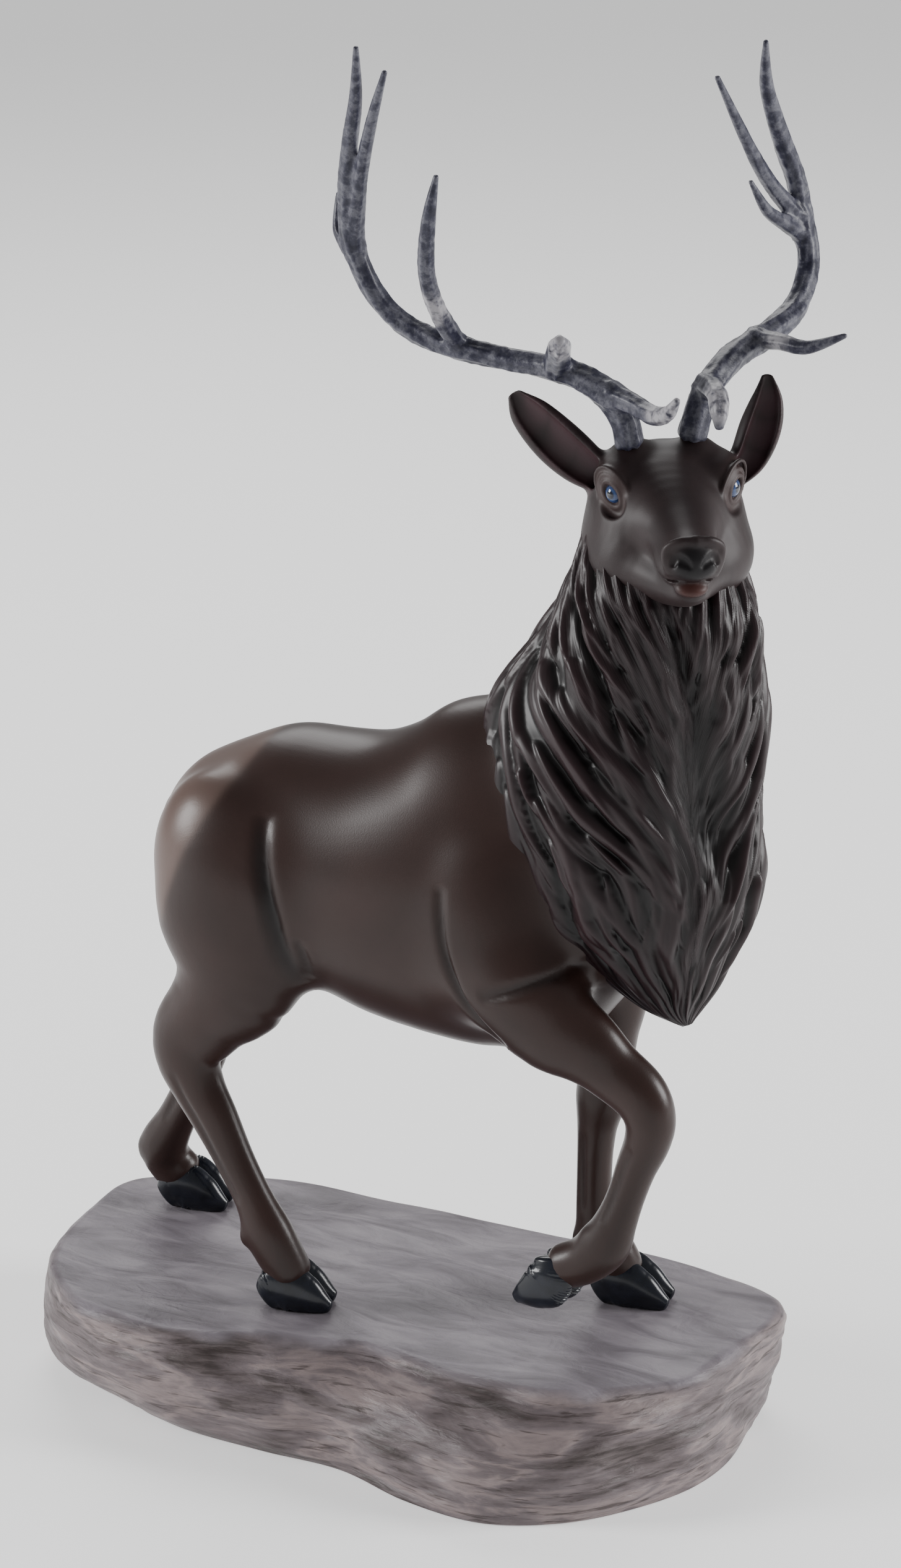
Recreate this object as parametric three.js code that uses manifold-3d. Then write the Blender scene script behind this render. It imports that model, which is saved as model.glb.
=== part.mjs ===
// A porcelain bull elk walking on a rock. Millimetres, +Z up, +X the way the elk walks,
// +Y its left, with the origin at the centre of the rock's flat underside.
import * as THREE from 'three';
import Module from 'manifold-3d';
import { mergeVertices } from 'three/addons/utils/BufferGeometryUtils.js';

const wasm = await Module();
wasm.setup();

// Driving sizes, in millimetres.
const shoulderHeight = 277;
const rockLength = 318;
const rockWidth = 186;
const rockHeight = 50;
const rockRimRadius = 7;
const rockRelief = 1.5;
const seatGap = 0.3;

// The elk is drawn in shares of its shoulder height, a hundred of them from rock to withers.
const share = shoulderHeight / 100;

// The elk's own frame stands on the rock, between the hooves. Stations are rows of
// [x, y, z, half depth, half width], and a limb runs through them from one end to the other.
const torso = [
  [-35.2, 0, 65.6, 4.4, 4],
  [-33.4, 0, 66.2, 8.8, 8.2],
  [-29.4, 0, 66.8, 12.8, 12.4],
  [-24, 0, 67.9, 16.2, 15.2],
  [-15.5, 0, 68.2, 19.7, 16.6],
  [-7, 0, 68.2, 19.7, 16.6],
  [4, 0, 67.3, 22, 17.2],
  [14, 0, 69, 25.2, 17],
  [22, 0, 71.2, 27, 15.8],
  [31, 0, 72.8, 23.8, 13.6],
  [38, 0, 74, 17, 10],
];
const mane = [
  [50, -1.1, 53.6, 1.4, 1.2],
  [48, -1, 56, 4.8, 4.2],
  [46, -0.6, 60, 9, 7.4],
  [44, -0.4, 65, 13, 10.4],
  [42, -0.2, 70, 17, 13.8],
  [40.8, -0.1, 76, 19.4, 15.6],
  [39.8, 0, 82.5, 20.4, 16.6],
  [39.4, 0, 89, 20.6, 17.2],
  [39.6, 0, 96, 20.6, 17],
  [41, -0.6, 102, 19.6, 15.8],
  [43.4, -1.6, 108.5, 17.2, 14],
  [45.6, -2.4, 115, 15, 12.8],
  [46, -3, 121, 12.4, 11.6],
  [46, -3, 127, 10.6, 10.2],
  [45.8, -2.8, 132, 8.6, 8.4],
];
const tail = [
  [-31, 0, 76.5, 2.6, 3],
  [-34.4, 0, 74, 2.3, 3],
  [-36, 0, 70, 1.7, 2.5],
  [-36.4, 0, 66, 0.8, 1.2],
];
const legs = {
  hindRight: [
    [-16.5, -6.5, 73, 13, 9.4],
    [-17.8, -9.2, 66, 13.8, 9.4],
    [-17, -11, 58.5, 11.8, 7.8],
    [-18.6, -12, 51, 9.4, 6.4],
    [-23, -12.5, 45.5, 7.2, 5.2],
    [-26.2, -12.7, 41, 6.4, 4.2],
    [-26.6, -12.9, 37.2, 5.4, 3.7],
    [-24.8, -13, 33, 4.4, 3.2],
    [-21.9, -13.2, 28.5, 3.9, 2.8],
    [-18.6, -13.2, 22.6, 3.3, 2.5],
    [-15.4, -13.2, 17, 3.2, 2.5],
    [-13.2, -13, 12.4, 3.9, 3.1],
    [-11.6, -12.6, 9, 3.9, 3.2],
    [-9.8, -11.9, 5.6, 3.5, 3.2],
  ],
  hindLeft: [
    [-17, 6.5, 73, 13, 9.4],
    [-18.6, 8.8, 65, 12.6, 9],
    [-21, 9.8, 56.5, 10.4, 7.4],
    [-26, 10, 48, 7.8, 5.6],
    [-31.4, 10, 41.5, 5.8, 4.3],
    [-34.6, 10, 37, 5, 3.7],
    [-37, 10, 32.6, 4.2, 3.2],
    [-38, 10.2, 28, 3.6, 2.8],
    [-40.6, 10.6, 21.6, 3.2, 2.5],
    [-44, 11.2, 15.4, 3.2, 2.6],
    [-47, 12, 10, 4, 3.2],
    [-46.6, 12.8, 7.4, 4, 3.2],
    [-44.8, 13.4, 5.4, 3.9, 3.2],
  ],
  foreRight: [
    [24, -7, 76, 10, 8],
    [25.8, -9.6, 67, 9.4, 7.4],
    [29, -12, 59.6, 8.6, 6.2],
    [34.6, -12.8, 54.8, 7.6, 5.2],
    [40.2, -12.4, 51.8, 6, 4.4],
    [44, -11.6, 48.8, 4.8, 3.9],
    [48.1, -11, 45.6, 4.4, 3.7],
    [49.8, -10.8, 42.2, 3.9, 3.5],
    [49.3, -10.5, 38.4, 3.5, 3.1],
    [47.4, -10.2, 33.8, 3.1, 2.6],
    [45.6, -9.8, 28.8, 2.9, 2.5],
    [43.9, -9.5, 24.4, 3.2, 2.8],
    [42, -9.2, 20.4, 3.9, 3.3],
    [38.8, -8.9, 17, 3.7, 3.2],
    [35, -8.6, 15, 3.5, 3.2],
  ],
  foreLeft: [
    [25, 7, 76, 9, 8],
    [28.6, 9.8, 64, 7.6, 6.2],
    [31.2, 11.2, 53, 6.8, 5.2],
    [30.8, 12, 44, 5.1, 4],
    [30.6, 12.3, 37.5, 4.2, 3.6],
    [30, 12.3, 33, 4, 3.5],
    [29.3, 12.3, 28, 3.1, 2.7],
    [28.9, 12.4, 21, 2.8, 2.4],
    [28.9, 12.6, 14.5, 3, 2.5],
    [29.8, 13, 10.4, 4, 3.2],
    [31.4, 13.6, 7.6, 4, 3.3],
    [32.8, 14.2, 5.2, 3.6, 3.2],
  ],
};

// A hoof has two toes. It starts at its heel and points along its heading, in degrees, and its
// pitch turns the toes down: a standing hoof lies flat, and the lifted one hangs.
const toe = { height: 6.8, width: 3.4, split: 0.4 };
const hooves = {
  hindRight: { heel: [-13.4, -12.4, 0], length: 9.4, heading: 20, pitch: 0 },
  hindLeft: { heel: [-46.8, 13.4, 0], length: 9.2, heading: 16, pitch: 0 },
  foreRight: { heel: [32.2, -8.4, 18], length: 9.6, heading: -3, pitch: 120 },
  foreLeft: { heel: [29.6, 13.8, 0], length: 10.2, heading: 14, pitch: 0 },
};

// The head's frame has its origin midway between the eyes: forward, left and up.
const headOrigin = [49.8, -4.3, 135.7];
const headPitch = 8;
const faceYaw = -53;
const antlerYaw = -46;
const skull = [
  [-14, 0.2, -4.8, 5, 5],
  [-11, 0.1, -4.9, 7.6, 8.4],
  [-6, -0.9, -5.2, 8.6, 10],
  [-1, -1.3, -5.4, 9, 10.4],
  [4, -1.3, -4.6, 7.4, 8.4],
  [9, -1.1, -4, 5.4, 6.2],
  [14, -1.1, -3.4, 4.2, 5.2],
  [18, -1.1, -2.9, 3.4, 4.4],
  [19.8, -1.1, -2.7, 2.4, 3.4],
];
const jaw = [
  [-9, -0.5, -9.4, 6, 9.4],
  [-2, -0.7, -9.6, 6, 10.6],
  [4, -0.9, -9.4, 5.2, 8.2],
  [9, -1, -8.8, 4.2, 6.2],
  [14, -1.1, -8.2, 2.8, 4.4],
  [17.4, -1.1, -7.8, 1.7, 2.8],
];
const eyes = [[1, 6.9, -1.6], [1, -9.7, -1.6]];
const eyeRadius = 2.1;
const ears = {
  left: [
    [-6, 8.4, -3, 1.6, 1.8],
    [-6.6, 11, 0, 2, 2.7],
    [-7.8, 12.8, 4, 1.9, 3],
    [-9, 13.8, 7.6, 1.4, 2.3],
    [-9.6, 13.8, 10.8, 0.7, 0.9],
  ],
  right: [
    [-6, -9.4, -2.6, 1.6, 2.6],
    [-6.4, -12.6, 0, 2, 3.9],
    [-7.2, -16.3, 3.4, 1.9, 4.2],
    [-8.2, -20, 7.3, 1.4, 3.3],
    [-8.8, -22, 9.8, 0.7, 1.3],
  ],
};

// How far an antler's pedicle is rooted below its seat on the skull.
const pedicleRoot = 4;

// Antler beams and tines, in the head's frame turned to the antlers' own heading.
// Rows are [forward, left, up, radius].
const antlerRight = {
  beam: [
    [-4.7, -6.1, 4.2, 2.1],
    [-5.2, -7, 7.6, 2],
    [-6.6, -9.25, 10.8, 2.07],
    [-11, -13.65, 12.6, 1.88],
    [-17.7, -20.15, 12.2, 1.69],
    [-24, -26.85, 12.2, 1.79],
    [-29, -32.25, 13.6, 1.6],
    [-32, -36.25, 17.8, 1.5],
    [-33.6, -39.05, 24.5, 1.6],
    [-32.9, -40.25, 31.4, 1.41],
    [-30.4, -40.85, 40, 1.22],
    [-27.4, -40.95, 48.5, 0.94],
    [-23.8, -42.05, 57, 0.4],
  ],
  tines: [
    [
      [-6, -8.65, 11, 1.79],
      [-1.4, -6.65, 11.1, 1.5],
      [3, -5.45, 11.3, 1.41],
      [7, -4.65, 13, 1.13],
      [9, -3.95, 15.8, 0.5],
    ],
    [
      [-12.3, -14.85, 12.7, 1.79],
      [-8.7, -15.75, 15.9, 1.79],
      [-5.1, -16.75, 18.9, 1.6],
      [-3.6, -17.25, 20.4, 0.85],
    ],
    [
      [-23.1, -25.95, 12.4, 1.41],
      [-20.2, -30.25, 19.5, 1.32],
      [-17.7, -32.65, 26.6, 1.22],
      [-15.9, -33.05, 34.5, 1.03],
      [-15.2, -32.45, 41, 0.4],
    ],
    [
      [-33.2, -38.85, 24.5, 1.32],
      [-30, -39.25, 35.3, 1.03],
      [-25, -39.25, 45.6, 0.85],
      [-20.2, -38.85, 54.6, 0.4],
    ],
    [[-33.6, -38.85, 23.6, 1.32], [-36.6, -40.25, 25.6, 1.03], [-38.8, -40.05, 30.2, 0.4]],
  ],
};
const antlerLeft = {
  beam: [
    [-4.7, 3.1, 4.6, 2.2],
    [-5.2, 3.8, 7, 2.1],
    [-7, 5.55, 10, 1.97],
    [-12.3, 10.95, 12.6, 1.97],
    [-19.1, 18.85, 13.2, 1.88],
    [-25, 24.35, 14.6, 1.79],
    [-30.2, 27.55, 18.6, 1.6],
    [-32.8, 27.15, 24, 1.69],
    [-33.2, 25.95, 30, 1.5],
    [-31.8, 22.75, 37.3, 1.41],
    [-28.2, 18.85, 46.4, 1.03],
    [-23.8, 16.75, 54.7, 0.4],
  ],
  tines: [
    [
      [-7, 5.35, 10.6, 1.79],
      [-2.2, 4.85, 12.2, 1.6],
      [1.8, 4.25, 12.8, 1.5],
      [4.4, 3.75, 11.6, 1.32],
      [5.4, 3.55, 9.8, 0.66],
    ],
    [
      [-16.4, 15.45, 13.4, 1.5],
      [-11.6, 17.35, 14.7, 1.22],
      [-7.2, 20.05, 15.4, 1.03],
      [-3.4, 24.15, 18.4, 0.4],
    ],
    [
      [-32.3, 27.05, 22.3, 1.32],
      [-29.6, 23.15, 25.4, 1.13],
      [-27.2, 19.65, 28.4, 0.85],
      [-25.6, 16.45, 33.4, 0.35],
    ],
    [
      [-32.6, 26.75, 24.5, 1.41],
      [-29.6, 21.05, 31, 1.13],
      [-25.6, 15.95, 38.6, 0.94],
      [-19.9, 8.65, 51.3, 0.4],
    ],
  ],
};

// The rock's outline at half height, anticlockwise, as shares of its half length and half width,
// then how far the rim and the foot draw in from there, as shares of its height.
const rockOutline = [
  [-0.98, -0.22, 0.04, 0.06],
  [-0.87, -0.53, 0.02, 0.28],
  [-0.69, -0.75, 0, 0.42],
  [-0.42, -0.86, 0.08, 0.3],
  [-0.14, -0.81, 0.22, 0.14],
  [0.1, -0.76, 0.4, 0.05],
  [0.34, -0.84, 0.5, -0.04],
  [0.56, -0.88, 0.56, -0.02],
  [0.74, -0.76, 0.4, 0.04],
  [0.86, -0.5, 0.24, 0.02],
  [0.95, -0.12, 0.06, 0],
  [0.97, 0.3, 0, 0.06],
  [0.93, 0.76, -0.08, 0.26],
  [0.68, 0.98, -0.03, 0.2],
  [0.2, 0.99, -0.04, 0.1],
  [-0.26, 0.97, -0.04, 0.1],
  [-0.7, 0.91, -0.04, 0.1],
  [-0.985, 0.62, -0.07, 0.1],
  [-1, 0.18, -0.05, 0.06],
];

// The hooves that stand on the rock, and how far round each the top is level.
const standingHooves = [hooves.hindRight, hooves.hindLeft, hooves.foreLeft];
const hoofSeat = 6.5 * share;

// Carving of the mane: locks round the neck, courses of them down it, their depth and slant.
const maneLocks = { round: 8, courses: 4, depth: 1.5, slant: 1.3, overhang: 0.5 };

const glaze = { metalness: 0, roughness: 0.4 };
const elkGlaze = new THREE.MeshStandardMaterial({ color: 0x3d2f2e, ...glaze });
const antlerGlaze = new THREE.MeshStandardMaterial({ color: 0x5c6078, ...glaze });
const rockGlaze = new THREE.MeshStandardMaterial({ color: 0x857c80, ...glaze, roughness: 0.6 });

// A smooth curve through rows of numbers, at row number t.
function rowAt(rows, t, closed = false) {
  const count = rows.length;
  const pick = (i) => rows[closed ? (i + count) % count : Math.min(Math.max(i, 0), count - 1)];
  const i = Math.min(Math.floor(t), closed ? count - 1 : count - 2);
  const f = t - i;
  const [a, b, c, d] = [pick(i - 1), pick(i), pick(i + 1), pick(i + 2)];
  return b.map((value, k) => value + 0.5 * f * (c[k] - a[k]
    + f * (2 * a[k] - 5 * value + 4 * c[k] - d[k] + f * (3 * (value - c[k]) + d[k] - a[k]))));
}

// Joins rings of points into one closed skin, with a point at each end.
function skin(rings, startPoint, endPoint) {
  const sides = rings[0].length;
  const points = [startPoint, ...rings.flat(), endPoint];
  const last = points.length - 1;
  const at = (ring, side) => 1 + ring * sides + (side % sides);
  const index = [];
  for (let s = 0; s < sides; s += 1) {
    index.push(0, at(0, s + 1), at(0, s));
    index.push(last, at(rings.length - 1, s), at(rings.length - 1, s + 1));
    for (let r = 0; r + 1 < rings.length; r += 1) {
      index.push(at(r, s), at(r, s + 1), at(r + 1, s));
      index.push(at(r, s + 1), at(r + 1, s + 1), at(r + 1, s));
    }
  }
  const geometry = new THREE.BufferGeometry();
  geometry.setAttribute('position', new THREE.Float32BufferAttribute(points.flatMap((p) => p.toArray()), 3));
  geometry.setIndex(index);
  return geometry;
}

// Sweeps an oval along stations of [x, y, z, half depth, half width] in shares, with its width
// laid along `across`. `shape` may bend the section: it takes the row number and the angle and
// gives factors of the half depth and the half width. Level sections lie flat all the way up.
const oval = (t, angle) => [Math.cos(angle), Math.sin(angle)];

function sweep(stations, options) {
  const {
    sides = 12, perSpan = 1, across = [0, 1, 0], shape = oval, place = inElk, cut = false, level = false,
  } = options;
  const steps = (stations.length - 1) * perSpan;
  const rows = Array.from({ length: steps + 1 }, (_, i) => rowAt(stations, i / perSpan));
  const centres = rows.map((row) => place(row[0], row[1], row[2]));
  const origin = place(0, 0, 0);
  const acrossAxis = place(...across).sub(origin).normalize();
  const tangents = centres.map((_, i) => (level ? new THREE.Vector3(0, 0, 1)
    : centres[Math.min(i + 1, steps)].clone().sub(centres[Math.max(i - 1, 0)]).normalize()));
  const rings = rows.map((row, i) => {
    const depthAxis = tangents[i].clone().cross(acrossAxis).normalize();
    const widthAxis = tangents[i].clone().cross(depthAxis);
    return Array.from({ length: sides }, (_, s) => {
      const [deep, wide] = shape(i / perSpan, (2 * Math.PI * s) / sides);
      return centres[i].clone()
        .addScaledVector(depthAxis, deep * row[3] * share)
        .addScaledVector(widthAxis, wide * row[4] * share);
    });
  });
  const endPoint = (i, way, bulge) => centres[i].clone()
    .addScaledVector(tangents[i], way * bulge * share * Math.min(rows[i][3], rows[i][4]));
  return skin(rings, endPoint(0, -1, cut ? 0 : 0.5), endPoint(steps, 1, 0.5));
}

// Places a point of the elk's own frame, given in shares.
function inElk(x, y, z) {
  return new THREE.Vector3(x, y, z).multiplyScalar(share);
}

// The turn of something that points along its heading with its far end pitched down, in degrees.
function turned(heading, pitch) {
  return new THREE.Euler(0, THREE.MathUtils.degToRad(pitch), THREE.MathUtils.degToRad(heading), 'ZYX');
}

// Places a point of the head's frame, given in shares, at the given yaw.
function headFrame(yaw) {
  return (forward, left, up) => inElk(forward, left, up)
    .applyEuler(turned(yaw, headPitch)).add(inElk(...headOrigin));
}
const onFace = headFrame(faceYaw);
const onAntlers = headFrame(antlerYaw);

function solid(geometry) {
  return new wasm.Manifold(new wasm.Mesh({
    numProp: 3,
    vertProperties: Float32Array.from(geometry.attributes.position.array),
    triVerts: Uint32Array.from(geometry.index.array),
  }));
}

function joined(geometries) {
  return geometries.map(solid).reduce((whole, piece) => whole.add(piece));
}

function meshOf(name, manifold, material) {
  const { vertProperties, triVerts } = manifold.getMesh();
  const geometry = new THREE.BufferGeometry();
  geometry.setAttribute('position', new THREE.Float32BufferAttribute(vertProperties, 3));
  geometry.setIndex(Array.from(triVerts));
  geometry.computeVertexNormals();
  const mesh = new THREE.Mesh(geometry, material);
  mesh.name = name;
  return mesh;
}

// The mane's section: locks slant down towards the breast from either side, and each course of
// them thickens to its tips and steps in to the next one below.
function maneShape(t, angle) {
  const fromBreast = Math.abs(Math.atan2(Math.sin(angle + Math.PI), Math.cos(angle + Math.PI)));
  const rowsDown = mane.length - 1 - t;
  const course = (rowsDown / (mane.length - 1)) * maneLocks.courses + 0.35 * Math.cos(3 * fromBreast);
  const lock = Math.cos(maneLocks.round * fromBreast + maneLocks.slant * rowsDown * 0.5);
  const fade = Math.min(1, t / 3, rowsDown / 4);
  const grow = (course - Math.floor(course)) * maneLocks.overhang;
  const raise = fade * share * maneLocks.depth * (0.7 * lock + grow - 0.4);
  const row = rowAt(mane, Math.min(t, mane.length - 1));
  const factor = 1 + raise / (share * Math.max(row[3], 4));
  return [Math.cos(angle) * factor, Math.sin(angle) * factor];
}

// An ear is a leaf that is hollowed on the side that faces forward.
const earHollow = 1.25;
function earShape(t, angle) {
  const deep = Math.cos(angle);
  return [deep < 0 ? deep * (1 - earHollow * Math.abs(deep)) : deep, Math.sin(angle)];
}

// One toe: a wedge with a flat sole and a curved front. Its sections run from the heel to the
// tip, as [along, height, half width] in shares of the toe's sizes.
const toeSections = [
  [0, 0.5, 0.6],
  [0.1, 0.86, 0.94],
  [0.36, 1.08, 1.06],
  [0.62, 0.94, 1],
  [0.86, 0.5, 0.8],
  [1, 0.16, 0.42],
];
const toeSides = 8;

function toeGeometry({ heel, length, heading, pitch }, side) {
  const middle = (side * (toe.width + toe.split)) / 2;
  const point = (along, left, up) => inElk(along, left, up)
    .applyEuler(turned(heading, pitch)).add(inElk(...heel));
  const rings = toeSections.map(([along, height, half]) => Array.from({ length: toeSides }, (_, s) => {
    const angle = (2 * Math.PI * (s + 0.5)) / toeSides;
    const up = Math.max(0, 0.5 + 0.58 * Math.sin(angle)) * height * toe.height;
    return point(along * length, middle + Math.cos(angle) * half * toe.width * 0.54, up);
  }));
  const ends = [rings[0], rings[rings.length - 1]].map((ring) => ring
    .reduce((sum, p) => sum.add(p), new THREE.Vector3()).divideScalar(toeSides));
  return skin(rings, ends[0], ends[1]);
}

function ball(place, centre, radius) {
  const geometry = new THREE.SphereGeometry(radius * share, 8, 6);
  geometry.deleteAttribute('normal');
  geometry.deleteAttribute('uv');
  const at = place(...centre);
  return mergeVertices(geometry).translate(at.x, at.y, at.z);
}

// The stump on the skull that an antler is seated on, with the seat gap left above it.
function pedicle(beam) {
  const [start, next] = [0, 1 / antlerMesh.perSpan].map((t) => new THREE.Vector3(...rowAt(beam, t)));
  const way = next.sub(start).normalize();
  const rootOf = (depth) => [...start.clone().addScaledVector(way, -depth).toArray(), beam[0][3], beam[0][3]];
  return sweep([rootOf(seatGap / share), rootOf(pedicleRoot)], {
    ...antlerMesh, place: onAntlers, across: squareTo(beam), cut: true,
  });
}

// The elk, cast in one piece.
function elk() {
  const body = [
    pedicle(antlerLeft.beam),
    pedicle(antlerRight.beam),
    sweep(torso, { sides: 24, perSpan: 1 }),
    sweep(mane, { sides: 40, perSpan: 2, shape: maneShape, level: true }),
    sweep(tail, { sides: 8 }),
    sweep(skull, { sides: 16, perSpan: 1, place: onFace }),
    sweep(jaw, { sides: 12, perSpan: 1, place: onFace }),
    ...eyes.map((eye) => ball(onFace, eye, eyeRadius)),
    sweep(ears.left, { sides: 10, place: onFace, across: [0.5, 0.85, -0.3], shape: earShape }),
    sweep(ears.right, { sides: 10, place: onFace, across: [0.5, 0.6, 0.6], shape: earShape }),
  ];
  for (const name of Object.keys(legs)) {
    body.push(sweep(legs[name], { sides: 11 }));
    body.push(toeGeometry(hooves[name], -1));
    body.push(toeGeometry(hooves[name], 1));
  }
  return joined(body);
}

// The antlers are round in section, so their stations hold one radius for depth and width. The
// section is laid along whichever axis of the head lies most squarely to the run.
function round(rows) {
  return rows.map(([forward, left, up, radius]) => [forward, left, up, radius, radius]);
}

function squareTo(rows) {
  const [start, end] = [rows[0], rows[rows.length - 1]];
  const run = [0, 1, 2].map((k) => Math.abs(end[k] - start[k]));
  return run.map((length) => (length === Math.min(...run) ? 1 : 0));
}

const antlerMesh = { sides: 7, perSpan: 2 };

function antler({ beam, tines }) {
  return joined([
    sweep(round(beam), { ...antlerMesh, across: squareTo(beam), cut: true }),
    ...tines.map((tine) => sweep(round(tine), { ...antlerMesh, across: squareTo(tine) })),
  ]);
}

// A point of the rock's outline at half height, the way out from it, and how far the rim and
// the foot draw in there.
function outlineAt(t) {
  const count = rockOutline.length;
  const at = (u) => {
    const [x, y, rim, foot] = rowAt(rockOutline, (u + count) % count, true);
    const [halfLength, halfWidth] = [rockLength / 2, rockWidth / 2];
    return { x: x * halfLength, y: y * halfWidth, rim: rim * rockHeight, foot: foot * rockHeight };
  };
  const [before, here, after] = [at(t - 0.05), at(t), at(t + 0.05)];
  const out = new THREE.Vector2(after.y - before.y, before.x - after.x).normalize();
  return { ...here, out };
}

// The rock's top waves a little, always below the level that the standing hooves are on.
function topDip(x, y) {
  const nearest = Math.min(...standingHooves.map((hoof) => {
    const middle = inElk(hoof.length / 2, 0, 0).applyEuler(turned(hoof.heading, 0)).add(inElk(...hoof.heel));
    return Math.hypot(x - middle.x, y - middle.y);
  }));
  const clear = THREE.MathUtils.smoothstep(nearest, hoofSeat, 2.2 * hoofSeat);
  const wave = 0.5 - 0.5 * Math.sin(x / 17 + 1.6 * Math.sin(y / 26)) * Math.cos(y / 21 - x / 60);
  return -rockRelief * clear * wave;
}

// Where the rings of the rounded rim lie, in degrees up from its side.
const rimAngles = [30, 60];

// The rock: its sides bulge from the foot to the rim, the rim is rounded, and beds of stone
// stand out a little along the sides.
function rock() {
  const sides = 44;
  const centre = new THREE.Vector3(0, 0, rockHeight + topDip(0, 0));
  const outline = Array.from({ length: sides }, (_, s) => outlineAt((s / sides) * rockOutline.length));
  const wallTop = rockHeight - rockRimRadius;
  const ring = (inset, level) => outline.map((p, s) => {
    const draw = inset(p, s);
    return new THREE.Vector3(p.x - draw * p.out.x, p.y - draw * p.out.y, level);
  });
  const bedding = (s, v) => rockRelief * 0.6 * Math.sin(v * 15 + 1.5 * Math.sin((s / sides) * 4 * Math.PI))
    * Math.sin(Math.PI * v);
  const wallInset = (v) => (p, s) => bedding(s, v)
    + (v < 0.5 ? p.foot * (1 - 2 * v) ** 2 : p.rim * (2 * v - 1) ** 2);
  const wall = [0, 0.12, 0.26, 0.4, 0.54, 0.68, 0.84, 1].map((v) => ring(wallInset(v), v * wallTop));
  const rim = rimAngles.map((degrees) => {
    const a = THREE.MathUtils.degToRad(degrees);
    return ring((p) => p.rim + rockRimRadius * (1 - Math.cos(a)), wallTop + rockRimRadius * Math.sin(a));
  });
  const edge = ring((p) => p.rim + rockRimRadius, rockHeight);
  const top = [1, 0.84, 0.66, 0.46, 0.24].map((part) => edge.map((p) => {
    const [x, y] = [p.x * part, p.y * part];
    return new THREE.Vector3(x, y, rockHeight + (part < 1 ? topDip(x, y) : 0));
  }));
  return solid(skin([...wall, ...rim, ...top], new THREE.Vector3(), centre));
}

// The antlers hang in a group of their own, turned with the head, and the whole elk stands a
// seat gap above the rock.
const antlerPair = new THREE.Group();
antlerPair.position.copy(inElk(...headOrigin));
antlerPair.rotation.copy(turned(antlerYaw, headPitch));
antlerPair.add(meshOf('antler_left', antler(antlerLeft), antlerGlaze));
antlerPair.add(meshOf('antler_right', antler(antlerRight), antlerGlaze));

const figure = new THREE.Group();
figure.position.z = rockHeight + seatGap;
figure.add(meshOf('elk', elk(), elkGlaze));
figure.add(antlerPair);

const figurine = new THREE.Group();
figurine.add(meshOf('rock_base', rock(), rockGlaze));
figurine.add(figure);

export default figurine;
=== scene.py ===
"""A glazed porcelain bull elk that strides over a rock, carved and painted."""
import math

import bpy
import numpy as np
import openvdb
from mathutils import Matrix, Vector


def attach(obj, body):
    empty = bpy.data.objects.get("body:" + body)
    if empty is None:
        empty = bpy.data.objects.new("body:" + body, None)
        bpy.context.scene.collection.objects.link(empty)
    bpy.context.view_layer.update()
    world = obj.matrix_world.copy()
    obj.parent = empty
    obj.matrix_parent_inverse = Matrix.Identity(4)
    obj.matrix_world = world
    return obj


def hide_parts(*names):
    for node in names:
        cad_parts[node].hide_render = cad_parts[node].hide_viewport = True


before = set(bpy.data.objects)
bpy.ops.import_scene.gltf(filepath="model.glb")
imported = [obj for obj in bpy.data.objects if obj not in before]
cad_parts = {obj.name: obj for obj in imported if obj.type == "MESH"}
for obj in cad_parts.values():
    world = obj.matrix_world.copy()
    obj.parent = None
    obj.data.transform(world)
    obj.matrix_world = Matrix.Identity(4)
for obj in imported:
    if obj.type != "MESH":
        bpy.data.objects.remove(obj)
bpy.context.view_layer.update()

# The body, cast in porcelain with its neck and legs, and glazed a satin dark brown.
# It is modelled as clay: limbs are ovals swept along smooth paths and melted together,
# and creases are then pressed into the skin. Rows are in shares, hundredths of the shoulder
# height, from the rock's top; the elk stands on that at elk_seat, in metres.
share = 0.00277
elk_seat = 0.0503
far = 0.05  # The distance that a grid holds where nothing is near.


def row_at(rows, t, closed=False):
    """Rows of numbers at row numbers t: the smooth cubic through the four nearest rows."""
    rows = np.asarray(rows, float)
    count = len(rows)
    i = np.floor(t).astype(int)
    if not closed:
        i = np.clip(i, 0, count - 2)
    f = (t - i)[:, None]
    pick = [(i + k) % count if closed else np.clip(i + k, 0, count - 1) for k in (-1, 0, 1, 2)]
    a, b, c, d = (rows[k] for k in pick)
    return b + 0.5 * f * (c - a + f * (2 * a - 5 * b + 4 * c - d + f * (3 * (b - c) + d - a)))


def unit(v):
    """Vectors over their own lengths."""
    return v / np.maximum(np.linalg.norm(v, axis=-1, keepdims=True), 1e-12)


def rail(rows, per_span, across):
    """Samples of a path: centres, the section's depth and width axes, and its half sizes.

    The depth axis is square to the run and to `across`, and the width axis to both."""
    t = np.linspace(0, len(rows) - 1, (len(rows) - 1) * per_span + 1)
    row = row_at(rows, t)
    centre = row[:, :3] * share
    ahead = np.vstack([centre[1:], centre[-1:]])
    behind = np.vstack([centre[:1], centre[:-1]])
    run = unit(ahead - behind)
    depth = unit(np.cross(run, unit(np.array(across, float))))
    return centre, run, depth, np.cross(run, depth), row[:, 3:5] * share


def smooth_min(a, b, blend):
    """The lower of two distances, rounded off where they come within `blend` of each other."""
    near = np.maximum(blend - np.abs(a - b), 0) / blend
    return np.minimum(a, b) - near * near * blend * 0.25


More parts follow.
